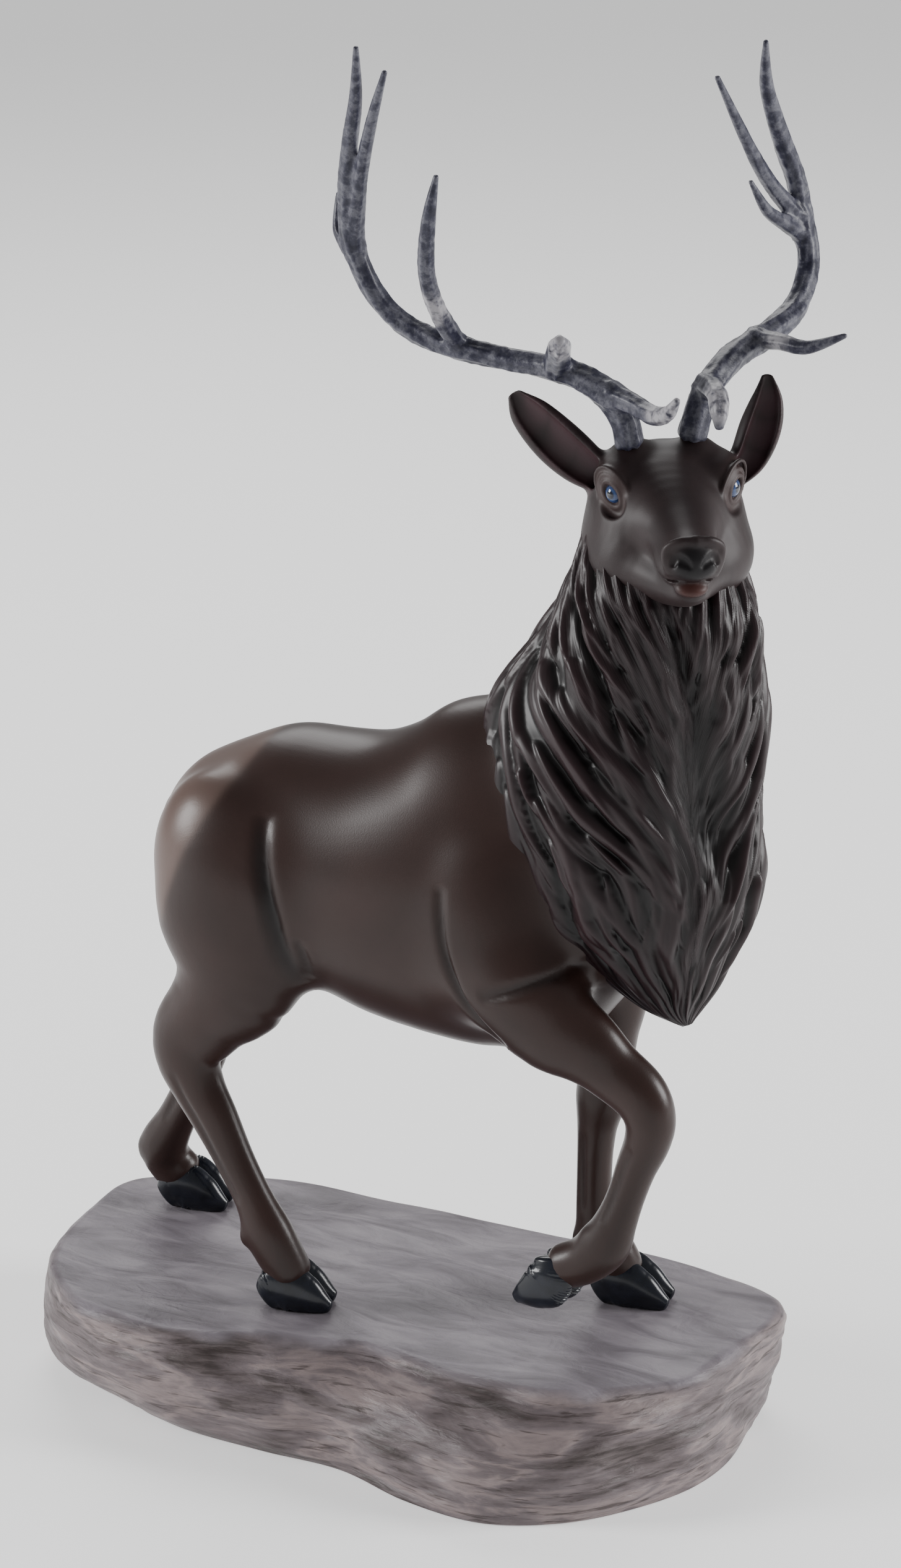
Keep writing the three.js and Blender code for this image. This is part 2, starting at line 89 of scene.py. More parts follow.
class Clay:
    """Signed distances to a surface on a grid of points, in metres, negative inside."""

    def __init__(self, low, high, step, snap=None):
        low = np.array(low, float)
        if snap is not None:
            low = snap.low + np.floor((low - snap.low) / step) * step
        self.low, self.step = low, step
        count = np.ceil((np.array(high, float) - low) / step).astype(int) + 1
        self.value = np.full(count, far, np.float32)

    def window(self, low, high):
        """The part of the grid between two corners: its slices and its coordinates."""
        a = np.maximum(np.floor((np.asarray(low) - self.low) / self.step).astype(int), 0)
        b = np.minimum(np.ceil((np.asarray(high) - self.low) / self.step).astype(int) + 1,
                       self.value.shape)
        b = np.maximum(b, a)
        line = [(self.low[k] + self.step * np.arange(a[k], b[k])).astype(np.float32)
                for k in range(3)]
        return tuple(slice(a[k], b[k]) for k in range(3)), (
            line[0][:, None, None], line[1][None, :, None], line[2][None, None, :])

    def merge(self, part, blend, cut=False):
        """Melts another block of distances into this one, or cuts it out."""
        a = np.round((part.low - self.low) / self.step).astype(int)
        here = tuple(slice(max(a[k], 0), min(a[k] + part.value.shape[k], self.value.shape[k]))
                     for k in range(3))
        there = tuple(slice(here[k].start - a[k], here[k].stop - a[k]) for k in range(3))
        if cut:
            self.value[here] = -smooth_min(-self.value[here], part.value[there], blend)
        else:
            self.value[here] = smooth_min(self.value[here], part.value[there], blend)

    def limb(self, rows, blend, across=(0, 1, 0), per_span=3, cut=False, floor=None):
        """Adds an oval swept through rows of [x, y, z, half depth, half width].

        Each piece of the path gives r, the place in its oval, and (r - 1) over r's slope
        is the distance; the least over the pieces is the limb's."""
        centre, run, depth, width, half = rail(rows, per_span, across)
        reach = half.max(1)[:, None] + 1.5 * blend + 2 * self.step
        part = Clay((centre - reach).min(0), (centre + reach).max(0), self.step, snap=self)
        place = np.zeros(part.value.shape, np.float32)
        for k in range(len(centre) - 1):
            low = np.minimum(centre[k] - reach[k], centre[k + 1] - reach[k + 1])
            high = np.maximum(centre[k] + reach[k], centre[k + 1] + reach[k + 1])
            where, (x, y, z) = part.window(low, high)
            step = (centre[k + 1] - centre[k]).astype(np.float32)
            x, y, z = x - centre[k][0], y - centre[k][1], z - centre[k][2]
            t = np.clip((x * step[0] + y * step[1] + z * step[2]) / float(step @ step), 0, 1)
            x, y, z = x - t * step[0], y - t * step[1], z - t * step[2]
            a, b = (half[k][i] + t * (half[k + 1][i] - half[k][i]) for i in (0, 1))
            u, v = ((x * ax[k][0] + y * ax[k][1] + z * ax[k][2])
                    + t * sum(q * (ax[k + 1][i] - ax[k][i]) for i, q in enumerate((x, y, z)))
                    for ax in (depth, width))
            w = x * run[k][0] + y * run[k][1] + z * run[k][2]
            c = 0.6 * np.minimum(a, b)
            u, v, w = u / a, v / b, w / c
            r = np.sqrt(u * u + v * v + w * w)
            slope = np.sqrt((u / a) ** 2 + (v / b) ** 2 + (w / c) ** 2)
            own = (r - 1) * (r + 1e-3) / (slope + 1e-3 / a)
            nearer = own < part.value[where]
            part.value[where] = np.where(nearer, own, part.value[where])
            place[where] = np.where(nearer, (k + t) / per_span, place[where])
        self.smooth_out(part, place, rows, across)
        if floor is not None:
            _, (x, y, z) = part.window(part.low, part.low + self.step * np.array(part.value.shape))
            part.value = np.maximum(part.value, floor(x, y, z)).astype(np.float32)
        self.merge(part, blend, cut)

    def smooth_out(self, part, place, rows, across):
        """Works out the distances near a limb's skin again on the smooth path itself.

        One step along the path's slope brings each place square to the point."""
        near = np.nonzero(np.abs(part.value) < 4 * self.step)
        points = part.low + np.stack(near, 1) * self.step
        at, last, little = place[near].astype(float), len(rows) - 1, 0.02
        for turn in (0, 1):
            row = row_at(rows, at)
            way = (row_at(rows, np.minimum(at + little, last))
                   - row_at(rows, np.maximum(at - little, 0)))[:, :3] * share
            way /= (np.minimum(at + little, last) - np.maximum(at - little, 0))[:, None]
            q = points - row[:, :3] * share
            if turn == 0:
                at = np.clip(at + (q * way).sum(1) / (way ** 2).sum(1), 0, last)
        run = unit(way)
        depth = unit(np.cross(run, unit(np.array(across, float))))
        axes = (depth, np.cross(run, depth), run)
        a, b = row[:, 3] * share, row[:, 4] * share
        sizes = (a, b, 0.6 * np.minimum(a, b))
        q = [(q * axis).sum(1) / size for axis, size in zip(axes, sizes)]
        r = np.sqrt(sum(c * c for c in q))
        slope = np.sqrt(sum((c / size) ** 2 for c, size in zip(q, sizes)))
        part.value[near] = (r - 1) * (r + 1e-3) / (slope + 1e-3 / a)

    def ball(self, centre, half, blend, cut=False, turn=None):
        """Adds an egg with three half sizes, in shares; `turn` holds its three axes as rows."""
        centre, half = np.array(centre, float) * share, np.array(half, float) * share
        turn = np.eye(3) if turn is None else unit(np.array(turn, float))
        reach = half.max() + 1.5 * blend + 2 * self.step
        part = Clay(centre - reach, centre + reach, self.step, snap=self)
        where, p = part.window(centre - reach, centre + reach)
        p = [p[k] - centre[k] for k in range(3)]
        q = [sum(p[k] * turn[i][k] for k in range(3)) / half[i] for i in range(3)]
        r = np.sqrt(sum(c * c for c in q))
        slope = np.sqrt(sum((c / h) ** 2 for c, h in zip(q, half)))
        part.value[where] = (r - 1) * (r + 1e-3) / (slope + 1e-3 / half.min())
        self.merge(part, blend, cut)

    def soften(self, passes, above=-99):
        """Rounds the surface off above a height in shares.

        Each distance becomes half of itself and a quarter of each neighbour's, axis by axis."""
        first = max(int((above * share - self.low[2]) / self.step), 0)
        for _ in range(passes):
            for axis in range(3):
                v = np.moveaxis(self.value[:, :, first:], axis, 0)
                v[1:-1] = (v[:-2] + 2 * v[1:-1] + v[2:]) / 4

    def at(self, points):
        """Distances at points, and their slopes, from the eight corners round each point."""
        g = (points - self.low) / self.step
        i = np.clip(np.floor(g).astype(int), 0, np.array(self.value.shape) - 2)
        f = g - i
        corner = [self.value[i[:, 0] + a, i[:, 1] + b, i[:, 2] + c].astype(float)
                  for a in (0, 1) for b in (0, 1) for c in (0, 1)]
        x0, x1, y0, y1, z0, z1 = (1 - f[:, 0], f[:, 0], 1 - f[:, 1], f[:, 1], 1 - f[:, 2], f[:, 2])
        c000, c001, c010, c011, c100, c101, c110, c111 = corner
        low = (c000 * y0 + c010 * y1) * z0 + (c001 * y0 + c011 * y1) * z1
        high = (c100 * y0 + c110 * y1) * z0 + (c101 * y0 + c111 * y1) * z1
        dy = (((c010 - c000) * x0 + (c110 - c100) * x1) * z0
              + ((c011 - c001) * x0 + (c111 - c101) * x1) * z1)
        dz = (((c001 - c000) * x0 + (c101 - c100) * x1) * y0
              + ((c011 - c010) * x0 + (c111 - c110) * x1) * y1)
        return low * x0 + high * x1, np.stack([high - low, dy, dz], 1) / self.step

    def surface(self):
        """The zero surface as four-sided faces, with its corners slid down the slope onto it."""
        block = openvdb.FloatGrid(far)
        block.copyFromArray(np.ascontiguousarray(self.value))
        points, quads = block.convertToQuads(isovalue=0.0)
        points = self.low + np.asarray(points, float) * self.step
        quads = np.asarray(quads, int)
        for _ in range(3):
            value, slope = self.at(points)
            steep = np.maximum((slope ** 2).sum(1), 0.2)
            points = points - np.clip(value / steep, -self.step, self.step)[:, None] * slope
        return points, quads, unit(self.at(points)[1])


def as_triangles(faces):
    """Quads split along their first diagonal."""
    return np.vstack([faces[:, [0, 1, 2]], faces[:, [0, 2, 3]]]) if faces.shape[1] == 4 else faces


def add_piece(name, points, faces, node, slot, material, **masks):
    """A smooth mesh that stands for a CAD node, with numbers at its points for the glaze."""
    tri = as_triangles(faces)
    a, b, c = (points[tri[:, k]] for k in range(3))
    if (a * np.cross(b, c)).sum() < 0:
        faces = faces[:, ::-1]
    mesh = bpy.data.meshes.new(name)
    mesh.vertices.add(len(points))
    mesh.vertices.foreach_set("co", points.astype(np.float32).ravel())
    mesh.loops.add(faces.size)
    mesh.loops.foreach_set("vertex_index", np.ascontiguousarray(faces).ravel())
    mesh.polygons.add(len(faces))
    mesh.polygons.foreach_set("loop_start", np.arange(len(faces)) * faces.shape[1])
    mesh.update(calc_edges=True)
    mesh.shade_smooth()
    for key, values in masks.items():
        mesh.attributes.new(key, "FLOAT", "POINT").data.foreach_set(
            "value", np.asarray(values, np.float32))
    piece = bpy.data.objects.new(name, mesh)
    bpy.context.scene.collection.objects.link(piece)
    mesh.materials.append(material)
    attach(piece, "root")
    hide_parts(node)
    return piece


def ripple(points, size, seed):
    """Smooth noise from -1 to 1: a mean of eighteen sine waves in random directions."""
    wave = np.random.default_rng(seed)
    way = unit(wave.normal(size=(18, 3))) * (2 * np.pi / size) * wave.uniform(0.6, 1.5, (18, 1))
    return np.sin(points @ way.T + wave.uniform(0, 2 * np.pi, 18)).sum(1) / 7.5


def from_line(points, path):
    """How far points are from a line of [x, y, z] in shares, and how far along it, 0 to 1."""
    path = row_at(path, np.linspace(0, len(path) - 1, len(path) * 5)) * share
    path[:, 2] += elk_seat
    best = np.full(len(points), 1.0)
    along = np.zeros(len(points))
    for k in range(len(path) - 1):
        step = path[k + 1] - path[k]
        q = points - path[k]
        t = np.clip(q @ step / (step @ step), 0, 1)
        gap = np.linalg.norm(q - t[:, None] * step, axis=1)
        nearer = gap < best
        best[nearer] = gap[nearer]
        along[nearer] = (k + t[nearer]) / (len(path) - 1)
    return best, along


torso = [
    [-35.2, 0, 65.6, 4.4, 4], [-33.4, 0, 66.2, 8.8, 8.2], [-29.4, 0, 66.8, 12.8, 12.4],
    [-24, 0, 67.9, 16.2, 15.2], [-15.5, 0, 68.2, 19.7, 16.6], [-7, 0, 68.5, 20, 16.6],
    [4, 0, 67.9, 22.6, 17.2], [14, 0, 69, 25.2, 17], [22, 0, 71.2, 27, 15.8],
    [31, 0, 72.8, 23.8, 13.6], [38, 0, 74, 17, 10],
]
mane = [
    [50, -1.1, 53.6, 1.4, 1.2], [48, -1, 56, 4.8, 4.2], [46, -0.6, 60, 9, 7.4],
    [44, -0.4, 65, 13, 10.4], [42, -0.2, 70, 17, 13.8], [40.8, -0.1, 76, 19.4, 15.6],
    [39.8, 0, 82.5, 20.4, 16.6], [39.4, 0, 89, 20.6, 17.2], [39.6, 0, 96, 20.6, 17],
    [41, -0.6, 102, 19.6, 15.8], [43.4, -1.6, 108.5, 17.2, 14], [45.6, -2.4, 115, 15, 12.8],
    [46, -3, 121, 12.4, 11.6], [46, -3, 127, 10.6, 10.2], [45.8, -2.8, 132, 8.6, 8.4],
]
tail = [
    [-31.6, 0, 74.7, 2.6, 3], [-35, 0, 72.2, 2.3, 3], [-36.6, 0, 68.2, 1.7, 2.5],
    [-37, 0, 64.2, 0.8, 1.2],
]
legs = {
    "hind_right": [
        [-16.5, -6.5, 73, 13, 9.4], [-17.8, -9.2, 66, 13.8, 9.4], [-17, -11, 58.5, 11.8, 7.8],
        [-18.6, -12, 51, 9.4, 6.4], [-23, -12.5, 45.5, 7.2, 5.2], [-26.2, -12.7, 41, 6.4, 4.2],
        [-26.6, -12.9, 37.2, 5.4, 3.7], [-24.8, -13, 33, 4.4, 3.2], [-21.9, -13.2, 28.5, 3.9, 2.8],
        [-18.6, -13.2, 22.6, 3.3, 2.5], [-15.4, -13.2, 17, 3.2, 2.5],
        [-13.2, -13, 12.4, 3.9, 3.1], [-11.6, -12.6, 9, 3.9, 3.2], [-9.8, -11.9, 5.6, 3.5, 3.2],
    ],
    "hind_left": [
        [-17, 6.5, 73, 13, 9.4], [-18.6, 8.8, 65, 12.6, 9], [-21, 9.8, 56.5, 10.4, 7.4],
        [-26, 10, 48, 7.8, 5.6], [-31.4, 10, 41.5, 5.8, 4.3], [-34.6, 10, 37, 5, 3.7],
        [-37, 10, 32.6, 4.2, 3.2], [-38, 10.2, 28, 3.6, 2.8], [-40.6, 10.6, 21.6, 3.2, 2.5],
        [-44, 11.2, 15.4, 3.2, 2.6], [-47, 12, 10, 4, 3.2],
        [-46.6, 12.8, 7.4, 4, 3.2], [-44.8, 13.4, 5.4, 3.9, 3.2],
    ],
    "fore_right": [
        [24, -7, 76, 10, 8], [25.8, -9.6, 67, 9.4, 7.4], [29, -12, 59.6, 8.6, 6.2],
        [34.6, -12.8, 54.8, 7.6, 5.2], [40.2, -12.4, 51.8, 6, 4.4], [44, -11.6, 48.8, 4.8, 3.9],
        [48.1, -11, 45.6, 4.4, 3.7], [49.8, -10.8, 42.2, 3.9, 3.5], [49.3, -10.5, 38.4, 3.5, 3.1],
        [47.4, -10.2, 33.8, 3.1, 2.6], [45.6, -9.8, 28.8, 2.9, 2.5],
        [43.9, -9.5, 24.4, 3.2, 2.8], [42, -9.2, 20.4, 3.9, 3.3], [38.8, -8.9, 17, 3.7, 3.2],
        [35, -8.6, 15, 3.5, 3.2],
    ],
    "fore_left": [
        [25, 7, 76, 9, 8], [28.6, 9.8, 64, 7.6, 6.2], [31.2, 11.2, 53, 6.8, 5.2],
        [30.8, 12, 44, 5.1, 4], [30.6, 12.3, 37.5, 4.2, 3.6], [30, 12.3, 33, 4, 3.5],
        [29.3, 12.3, 28, 3.1, 2.7], [28.9, 12.4, 21, 2.8, 2.4], [28.9, 12.6, 14.5, 3, 2.5],
        [29.8, 13, 10.4, 4, 3.2], [31.4, 13.6, 7.6, 4, 3.3], [32.8, 14.2, 5.2, 3.6, 3.2],
    ],
}
body_grid = 0.00147
body = Clay(np.array([-53, -24, -1]) * share, np.array([64, 23, 122]) * share, body_grid)
body.limb(torso, 0.004)
neck = [[x, y, z, a * 0.8, b * 0.8] for x, y, z, a, b in mane[3:13]]
body.limb(neck, 0.012)
body.soften(10)
for name, rows in legs.items():
    body.limb(rows, 0.012 if name.startswith("hind") else 0.009)

# Muscles that swell under the skin, as [centre, half sizes].
muscles = [
    ([-22, -11.5, 70], [9, 6, 12]), ([-22, 11.5, 70], [9, 6, 12]),
    ([22, -11, 66], [8, 6, 13]), ([22, 11, 66], [8, 6, 13]),
    ([29, -12.5, 59.5], [7, 4.6, 5.4]), ([27, 0, 92], [10, 5, 6]),
    ([-22, -13, 60], [8, 4.6, 8]), ([-22, 11.5, 58], [8, 4.6, 8]),
]
for centre, half in muscles:
    body.ball(centre, half, 0.012)
body.soften(10, above=60)
body.limb(tail, 0.003)
# Dewclaws behind the fetlocks.
for x, y, z in ([-16.3, -13, 10.8], [-50, 12.2, 9.4], [26.4, 13, 9.8], [39.4, -9, 20.8]):
    for side in (-1, 1):
        body.ball([x, y + 1.4 * side, z], [1, 0.8, 1.6], 0.003)
body.soften(2)

points, quads, out = body.surface()
points[:, 2] += elk_seat

# Creases in the skin: a line of [x, z] drawn on the side that faces left, 1, or right, -1,
# between two values of y; then its half width and its depth. All in shares.
creases = [
    ([[-11.8, 79], [-10.9, 72.5], [-9.3, 65.7], [-8, 59.4], [-6.3, 53]], -1, (-25, -4), 1.2, 1.1),
    ([[-5.6, 61], [-5, 57.4], [-5.2, 54]], -1, (-25, -4), 0.8, 0.5),
    ([[18.7, 74], [19.6, 65], [22, 58.3], [25.1, 54], [29, 50.6]], -1, (-25, -4), 0.8, 0.8),
    ([[26, 58.6], [31, 60.6], [35.3, 62.4], [40, 64]], -1, (-25, -4), 0.9, 0.7),
    ([[-27.4, 36], [-25.8, 32.2], [-23, 27.8], [-19.7, 22], [-16.5, 16.6]], -1, (-25, -9), 0.6, 0.4),
    ([[-39.2, 28], [-41.8, 21.4], [-45, 15.6]], -1, (4, 15), 0.6, 0.4),
    ([[28.2, 28], [27.9, 21], [27.9, 15]], -1, (4, 15), 0.6, 0.4),
    ([[48, 37.6], [46.2, 33.6], [44.4, 28.6], [42.8, 24.4]], -1, (-20, -5), 0.6, 0.4),
    ([[-11.8, 79], [-10.9, 72.5], [-9.3, 65.7], [-8, 59.4]], 1, (4, 25), 1.2, 1),
    ([[14.4, 69], [15.6, 62], [18, 56]], 1, (4, 25), 0.8, 0.6),
]
press = np.zeros(len(points))
for path, facing, (low, high), half_width, depth in creases:
    gap, along = from_line(points * [1, 0, 1], [[x, 0, z] for x, z in path])
    on_side = np.clip(2 * facing * out[:, 1], 0, 1)
    on_side = on_side * (points[:, 1] > low * share) * (points[:, 1] < high * share)
    groove = np.exp(-(gap / (half_width * share)) ** 2) * np.sin(np.pi * along) ** 0.5
    press += depth * share * on_side * groove
points = points - out * press[:, None]
# The tan rump, behind an edge that runs forward as it rises and ends above the thigh.
x, _, z = ((points - [0, 0, elk_seat]) / share).T
rump_edge = np.interp(z, [58, 64, 72.5, 80, 86, 90], [-28.8, -27.3, -23.7, -19.6, -17.3, -16.8])
rump = 1 / (1 + np.exp((x - rump_edge) / 0.35))
rump *= 1 / (1 + np.exp(-(z - 60.5) / 0.8))


class Glaze:
    """The nodes of a material, with one method that adds any of them."""

    def __init__(self, name):
        self.material = bpy.data.materials.new(name)
        self.material.use_nodes = True
        self.tree = self.material.node_tree
        self.tree.nodes.clear()

    def node(self, kind, settings=None, out=0, **sockets):
        """Adds a node, sets what it is, then feeds its sockets with values or links."""
        made = self.tree.nodes.new(kind)
        for key, value in (settings or {}).items():
            if key == "stops":
                while len(made.color_ramp.elements) < len(value):
                    made.color_ramp.elements.new(0.5)
                for element, (place, colour) in zip(made.color_ramp.elements, value):
                    element.position, element.color = place, (*colour, 1)
            else:
                setattr(made, key, value)
        for key, value in sockets.items():
            socket = made.inputs[int(key[1:])] if key[0] == "i" and key[1:].isdigit() \
                else made.inputs[key.replace("_", " ")]
            if isinstance(value, Wire):
                self.tree.links.new(value.socket, socket)
            elif isinstance(value, (tuple, list)) and socket.type == "RGBA" and len(value) == 3:
                socket.default_value = (*value, 1)
            else:
                socket.default_value = value
        return None if out is None else Wire(self, made.outputs[out])

    def attribute(self, name):
        """A number painted on the piece's own points."""
        return self.node("ShaderNodeAttribute", {"attribute_name": name}, out=2)

    def place(self):
        """The piece's own coordinates, in metres."""
        return self.node("ShaderNodeTexCoord", out=3)

    def noise(self, size, detail=3, roughness=0.5, vector=None):
        """Cloudy noise, 0 to 1, with features about `size` metres wide."""
        return self.node("ShaderNodeTexNoise", Vector=vector or self.place(), Scale=1 / size,
                         Detail=detail, Roughness=roughness)

    def mix(self, factor, a, b):
        """One colour turned into another by a factor."""
        return self.node("ShaderNodeMix", {"data_type": "RGBA"}, out=2, i0=factor, i6=a, i7=b)

    def ramp(self, factor, *stops):
        """A colour for a number, from stops of (number, colour)."""
        return self.node("ShaderNodeValToRGB", {"stops": stops}, Fac=factor)

    def finish(self, bump=None, bump_depth=0.0004, **sockets):
        """Closes the material with one glossy shader, and a bump if there is one."""
        if bump is not None:
            sockets["Normal"] = self.node("ShaderNodeBump", Height=bump, Distance=bump_depth)
        shader = self.node("ShaderNodeBsdfPrincipled", Specular_IOR_Level=0.26, **sockets)
        self.node("ShaderNodeOutputMaterial", out=None, Surface=shader)
        return self.material


class Wire:
    """An output socket that sums, differences and products can be written with."""

    def __init__(self, glaze, socket):
        self.glaze, self.socket = glaze, socket

    def maths(self, operation, a, b=0.0, clamp=False):
        """One sum on two values, held between 0 and 1 if `clamp` is set."""
        return self.glaze.node("ShaderNodeMath", {"operation": operation, "use_clamp": clamp},
                               i0=a, i1=b)

    def __add__(self, other):
        return self.maths("ADD", self, other)

    def __mul__(self, other):
        return self.maths("MULTIPLY", self, other)

    def __sub__(self, other):
        return self.maths("SUBTRACT", self, other)

    def __rsub__(self, other):
        return self.maths("SUBTRACT", other, self)

    __radd__, __rmul__ = __add__, __mul__

    def clamp(self):
        """The value, held between 0 and 1."""
        return self.maths("ADD", self, 0.0, clamp=True)

    def between(self, low, high):
        """0 below one value, 1 above the other, straight in between."""
        return self.maths("MULTIPLY", self - low, 1 / (high - low), clamp=True)


def coat_material(name, dark, mid, rough):
    """The brown body glaze: clouds of two browns, a tan rump, and painted shade that darkens the
    creases.
    """
    g = Glaze(name)
    cloud = g.noise(0.05, 3).between(0.35, 0.65)
    colour = g.mix(cloud, dark, mid)
    colour = g.mix(g.attribute("rump"), colour, (0.1, 0.066, 0.056))
    # Painted shade: the deeper a crease, the darker its glaze.
    colour = g.mix(g.attribute("crease").clamp(), colour, (0.006, 0.004, 0.004))
    fine = g.noise(0.0006, 2)
    return g.finish(fine, 0.00003, Base_Color=colour, Roughness=rough, Coat_Weight=0.08,
                    Coat_Roughness=0.22)


body_glaze = coat_material("body glaze", (0.019, 0.0085, 0.0068), (0.028, 0.0135, 0.0112), 0.36)
# Each crease's depth is also kept, to darken the glaze there as painted shade.
add_piece("body", points, quads, "elk", "elk_glaze", body_glaze,
          rump=rump, crease=press / (1.1 * share))

# The mane, cast with the neck: rows of overlapping locks that run down to the breast, carved
# with strands, and glazed darker and glossier than the body, with painted shade in its grooves.
# Its sections are level ovals, and the height of the locks is added outwards.
mane_rows, mane_columns = 270, 364
centre, _, _, _, half = rail(mane, 8, (0, 1, 0))
length = np.concatenate([[0], np.cumsum(np.linalg.norm(np.diff(centre, axis=0), axis=1))])
s = np.linspace(0, length[-1], mane_rows)
down = s / s[-1]
centre, half = (np.stack([np.interp(length[-1] - s, length, v[:, k])
                          for k in range(v.shape[1])], 1) for v in (centre, half))
turn = np.linspace(-np.pi, np.pi, mane_columns, endpoint=False)
turn = turn - 0.35 * np.sin(turn)
# The locks part along a line down the throat, which turns with the head.
parting = np.radians(np.interp(down, [0, 0.18, 0.36, 0.52, 0.65, 1],
                               [-66, -59, -45, -38, -36, -44]))
psi = (turn[None, :] - parting[:, None] + np.pi) % (2 * np.pi) - np.pi
carve = np.random.default_rng(7)

# The flow of the hair: from each angle at the head, a line that runs down and leans to the
# parting, most at the sides of the throat and hardly at all on the breast and the nape.
# Past side_turn, an angle from the parting, it leans back to the nape; the rate is per metre.
side_turn, nape_part, lean_rate = 1.9, 1.242, 16
lane = np.linspace(-np.pi, np.pi, 361)
flow = np.zeros((mane_rows, 361))
flow[0] = lane
for r in range(1, mane_rows):
    aside = np.abs(flow[r - 1])
    lean = np.where(
        aside < side_turn, np.sin(np.pi * np.minimum(aside, side_turn) / side_turn) ** 0.7,
        -0.2 * np.sin(np.pi * (np.maximum(aside, side_turn) - side_turn) / nape_part))
    weight = np.interp(down[r], [0, 0.1, 0.6, 0.8], [0.3, 1, 1, 0.25])
    flow[r] = flow[r - 1] - np.sign(flow[r - 1]) * lean_rate * lean * weight * (s[1] - s[0])
strand = np.stack([np.interp(psi[r], flow[r], lane) for r in range(mane_rows)])


def one_lock(height, start, run_out, at, wide, base, ridge, strands):
    """Lays one lock over the heights. It follows the flow and waves; across it, its height
    is a half circle with strands cut in, and its root lies low and its tip high."""
    rows = np.nonzero((s >= start) & (s <= start + run_out))[0]
    if len(rows) == 0:
        return
    sway, phase, twist = carve.uniform(0.03, 0.1), carve.uniform(0, 6.28), carve.uniform(-0.4, 0.4)
    t = ((s[rows] - start) / run_out)[:, None]
    own_lane = np.interp(at, flow[rows[0]], lane)
    middle = np.array([np.interp(own_lane, lane, flow[r]) for r in rows])[:, None]
    middle = middle + sway * np.sin(120 * run_out * t + phase) * np.sqrt(t)
    taper = wide * np.minimum(1, 1.7 * (1 - t) ** 0.75) * (0.45 + 0.55 * np.minimum(1, 4 * t))
    across = ((psi[rows] - middle + np.pi) % (2 * np.pi) - np.pi) / np.maximum(taper, 1e-3)
    inside = np.clip(1 - across ** 2, 0, 1)
    bent = across + twist * (1 - across ** 2)
    lift = base * (0.1 + 0.9 * t) + ridge * np.sqrt(inside) * np.sin(np.pi * t ** 0.6) ** 0.5
    lift += 0.2 * ridge * np.cos(bent * strands * np.pi) * inside
    lift *= (1 - t ** 9) * carve.uniform(0.8, 1.15)
    height[rows] = np.maximum(height[rows], np.where(np.abs(across) < 1, lift, 0))


def lay_locks(courses, around, long, base, ridge, strands):
    """Heights of courses of overlapping locks, laid from the breast up to the head."""
    height = np.zeros((mane_rows, mane_columns))
    for course in range(courses, -3, -1):
        for i in range(around):
            start = (course + carve.uniform(-0.6, 0.6)) * s[-1] / (courses + 1)
            at = -np.pi + (i + 0.5 * (course % 2) + carve.uniform(-0.3, 0.3)) * 2 * np.pi / around
            one_lock(height, start, long * carve.uniform(0.7, 1.35), at,
                     np.pi / around * carve.uniform(0.9, 1.6), base, ridge, strands)
    return height


raised = lay_locks(4, 19, 0.09, 0.0022, 0.003, 1.5)
raised = 0.7 * raised + lay_locks(8, 44, 0.06, 0.0022, 0.0026, 1)
# The great lock that sweeps down over the throat from the right cheek, and the hollow there.
one_lock(raised, 0.25 * s[-1], 0.112, -1.12, 0.17, 0.0035, 0.004, 2.5)
throat = np.interp(down, [0.12, 0.2, 0.45, 0.58, 0.71], [0, 0.003, 0.006, 0.007, 0])
breadth = np.interp(down, [0.12, 0.3, 0.6], [0.05, 0.09, 0.26])
hollow = throat[:, None] * np.exp(-((psi - 0.6 * breadth[:, None]) / breadth[:, None]) ** 2)
# The locks a little rounded, and their mean over a few strands, which tells the grooves.
soft = (np.roll(raised, 1, 1) + 4 * raised + np.roll(raised, -1, 1)) / 6
soft[1:-1] = (soft[:-2] + 4 * soft[1:-1] + soft[2:]) / 6
broad = soft.copy()
for _ in range(12):
    broad = (np.roll(broad, 2, 1) + broad + np.roll(broad, -2, 1)) / 3
    broad[2:-2] = (broad[:-4] + broad[2:-2] + broad[4:]) / 3
fade = np.clip((s[-1] - s) / 0.05, 0, 1)[:, None] * 0.9 + 0.1
sunk = np.interp(down, [0.03, 0.15], [0.005, 0])[:, None] * np.exp(-(psi / 1.9) ** 4)
skin_depth = 0.0042
height = (soft - skin_depth) * fade - hollow - sunk
around = np.stack([np.cos(turn), np.sin(turn), 0 * turn], 1)[None]
sizes = np.column_stack([half, np.ones(mane_rows)])[:, None, :]
outward = unit(around / sizes)
grid_points = (centre[:, None, :] + around * sizes + outward * height[:, :, None]).reshape(-1, 3)


def tube_faces(rows, columns):
    """Faces of a closed tube of rings, row after row, that needs a point at each end."""
    r, c = np.meshgrid(np.arange(rows - 1), np.arange(columns), indexing="ij")
    n = (c + 1) % columns
    quads = np.stack([r * columns + c, r * columns + n, (r + 1) * columns + n,
                      (r + 1) * columns + c], -1).reshape(-1, 4)
    ring = np.arange(columns)
    after = (ring + 1) % columns
    top, foot = rows * columns, rows * columns + 1
    caps = np.vstack([
        np.stack([np.full(columns, top), after, ring], 1),
        np.stack([np.full(columns, foot), ring + (rows - 1) * columns,
                  after + (rows - 1) * columns], 1)])
    return np.vstack([as_triangles(quads), caps])


mane_points = np.vstack([grid_points, centre[0], centre[-1] - [0, 0, 0.002]])
mane_points[:, 2] += elk_seat
# How deep each point lies below its locks' mean and in the throat's hollow; the glaze darkens there
# as painted shade.
groove = np.append(((broad - soft) / 0.0018 + hollow / 0.008).ravel(), [0, 0])
strand = np.append(strand.ravel(), [0, 0])
reach = np.append(np.repeat(s, mane_columns), [0, s[-1]])


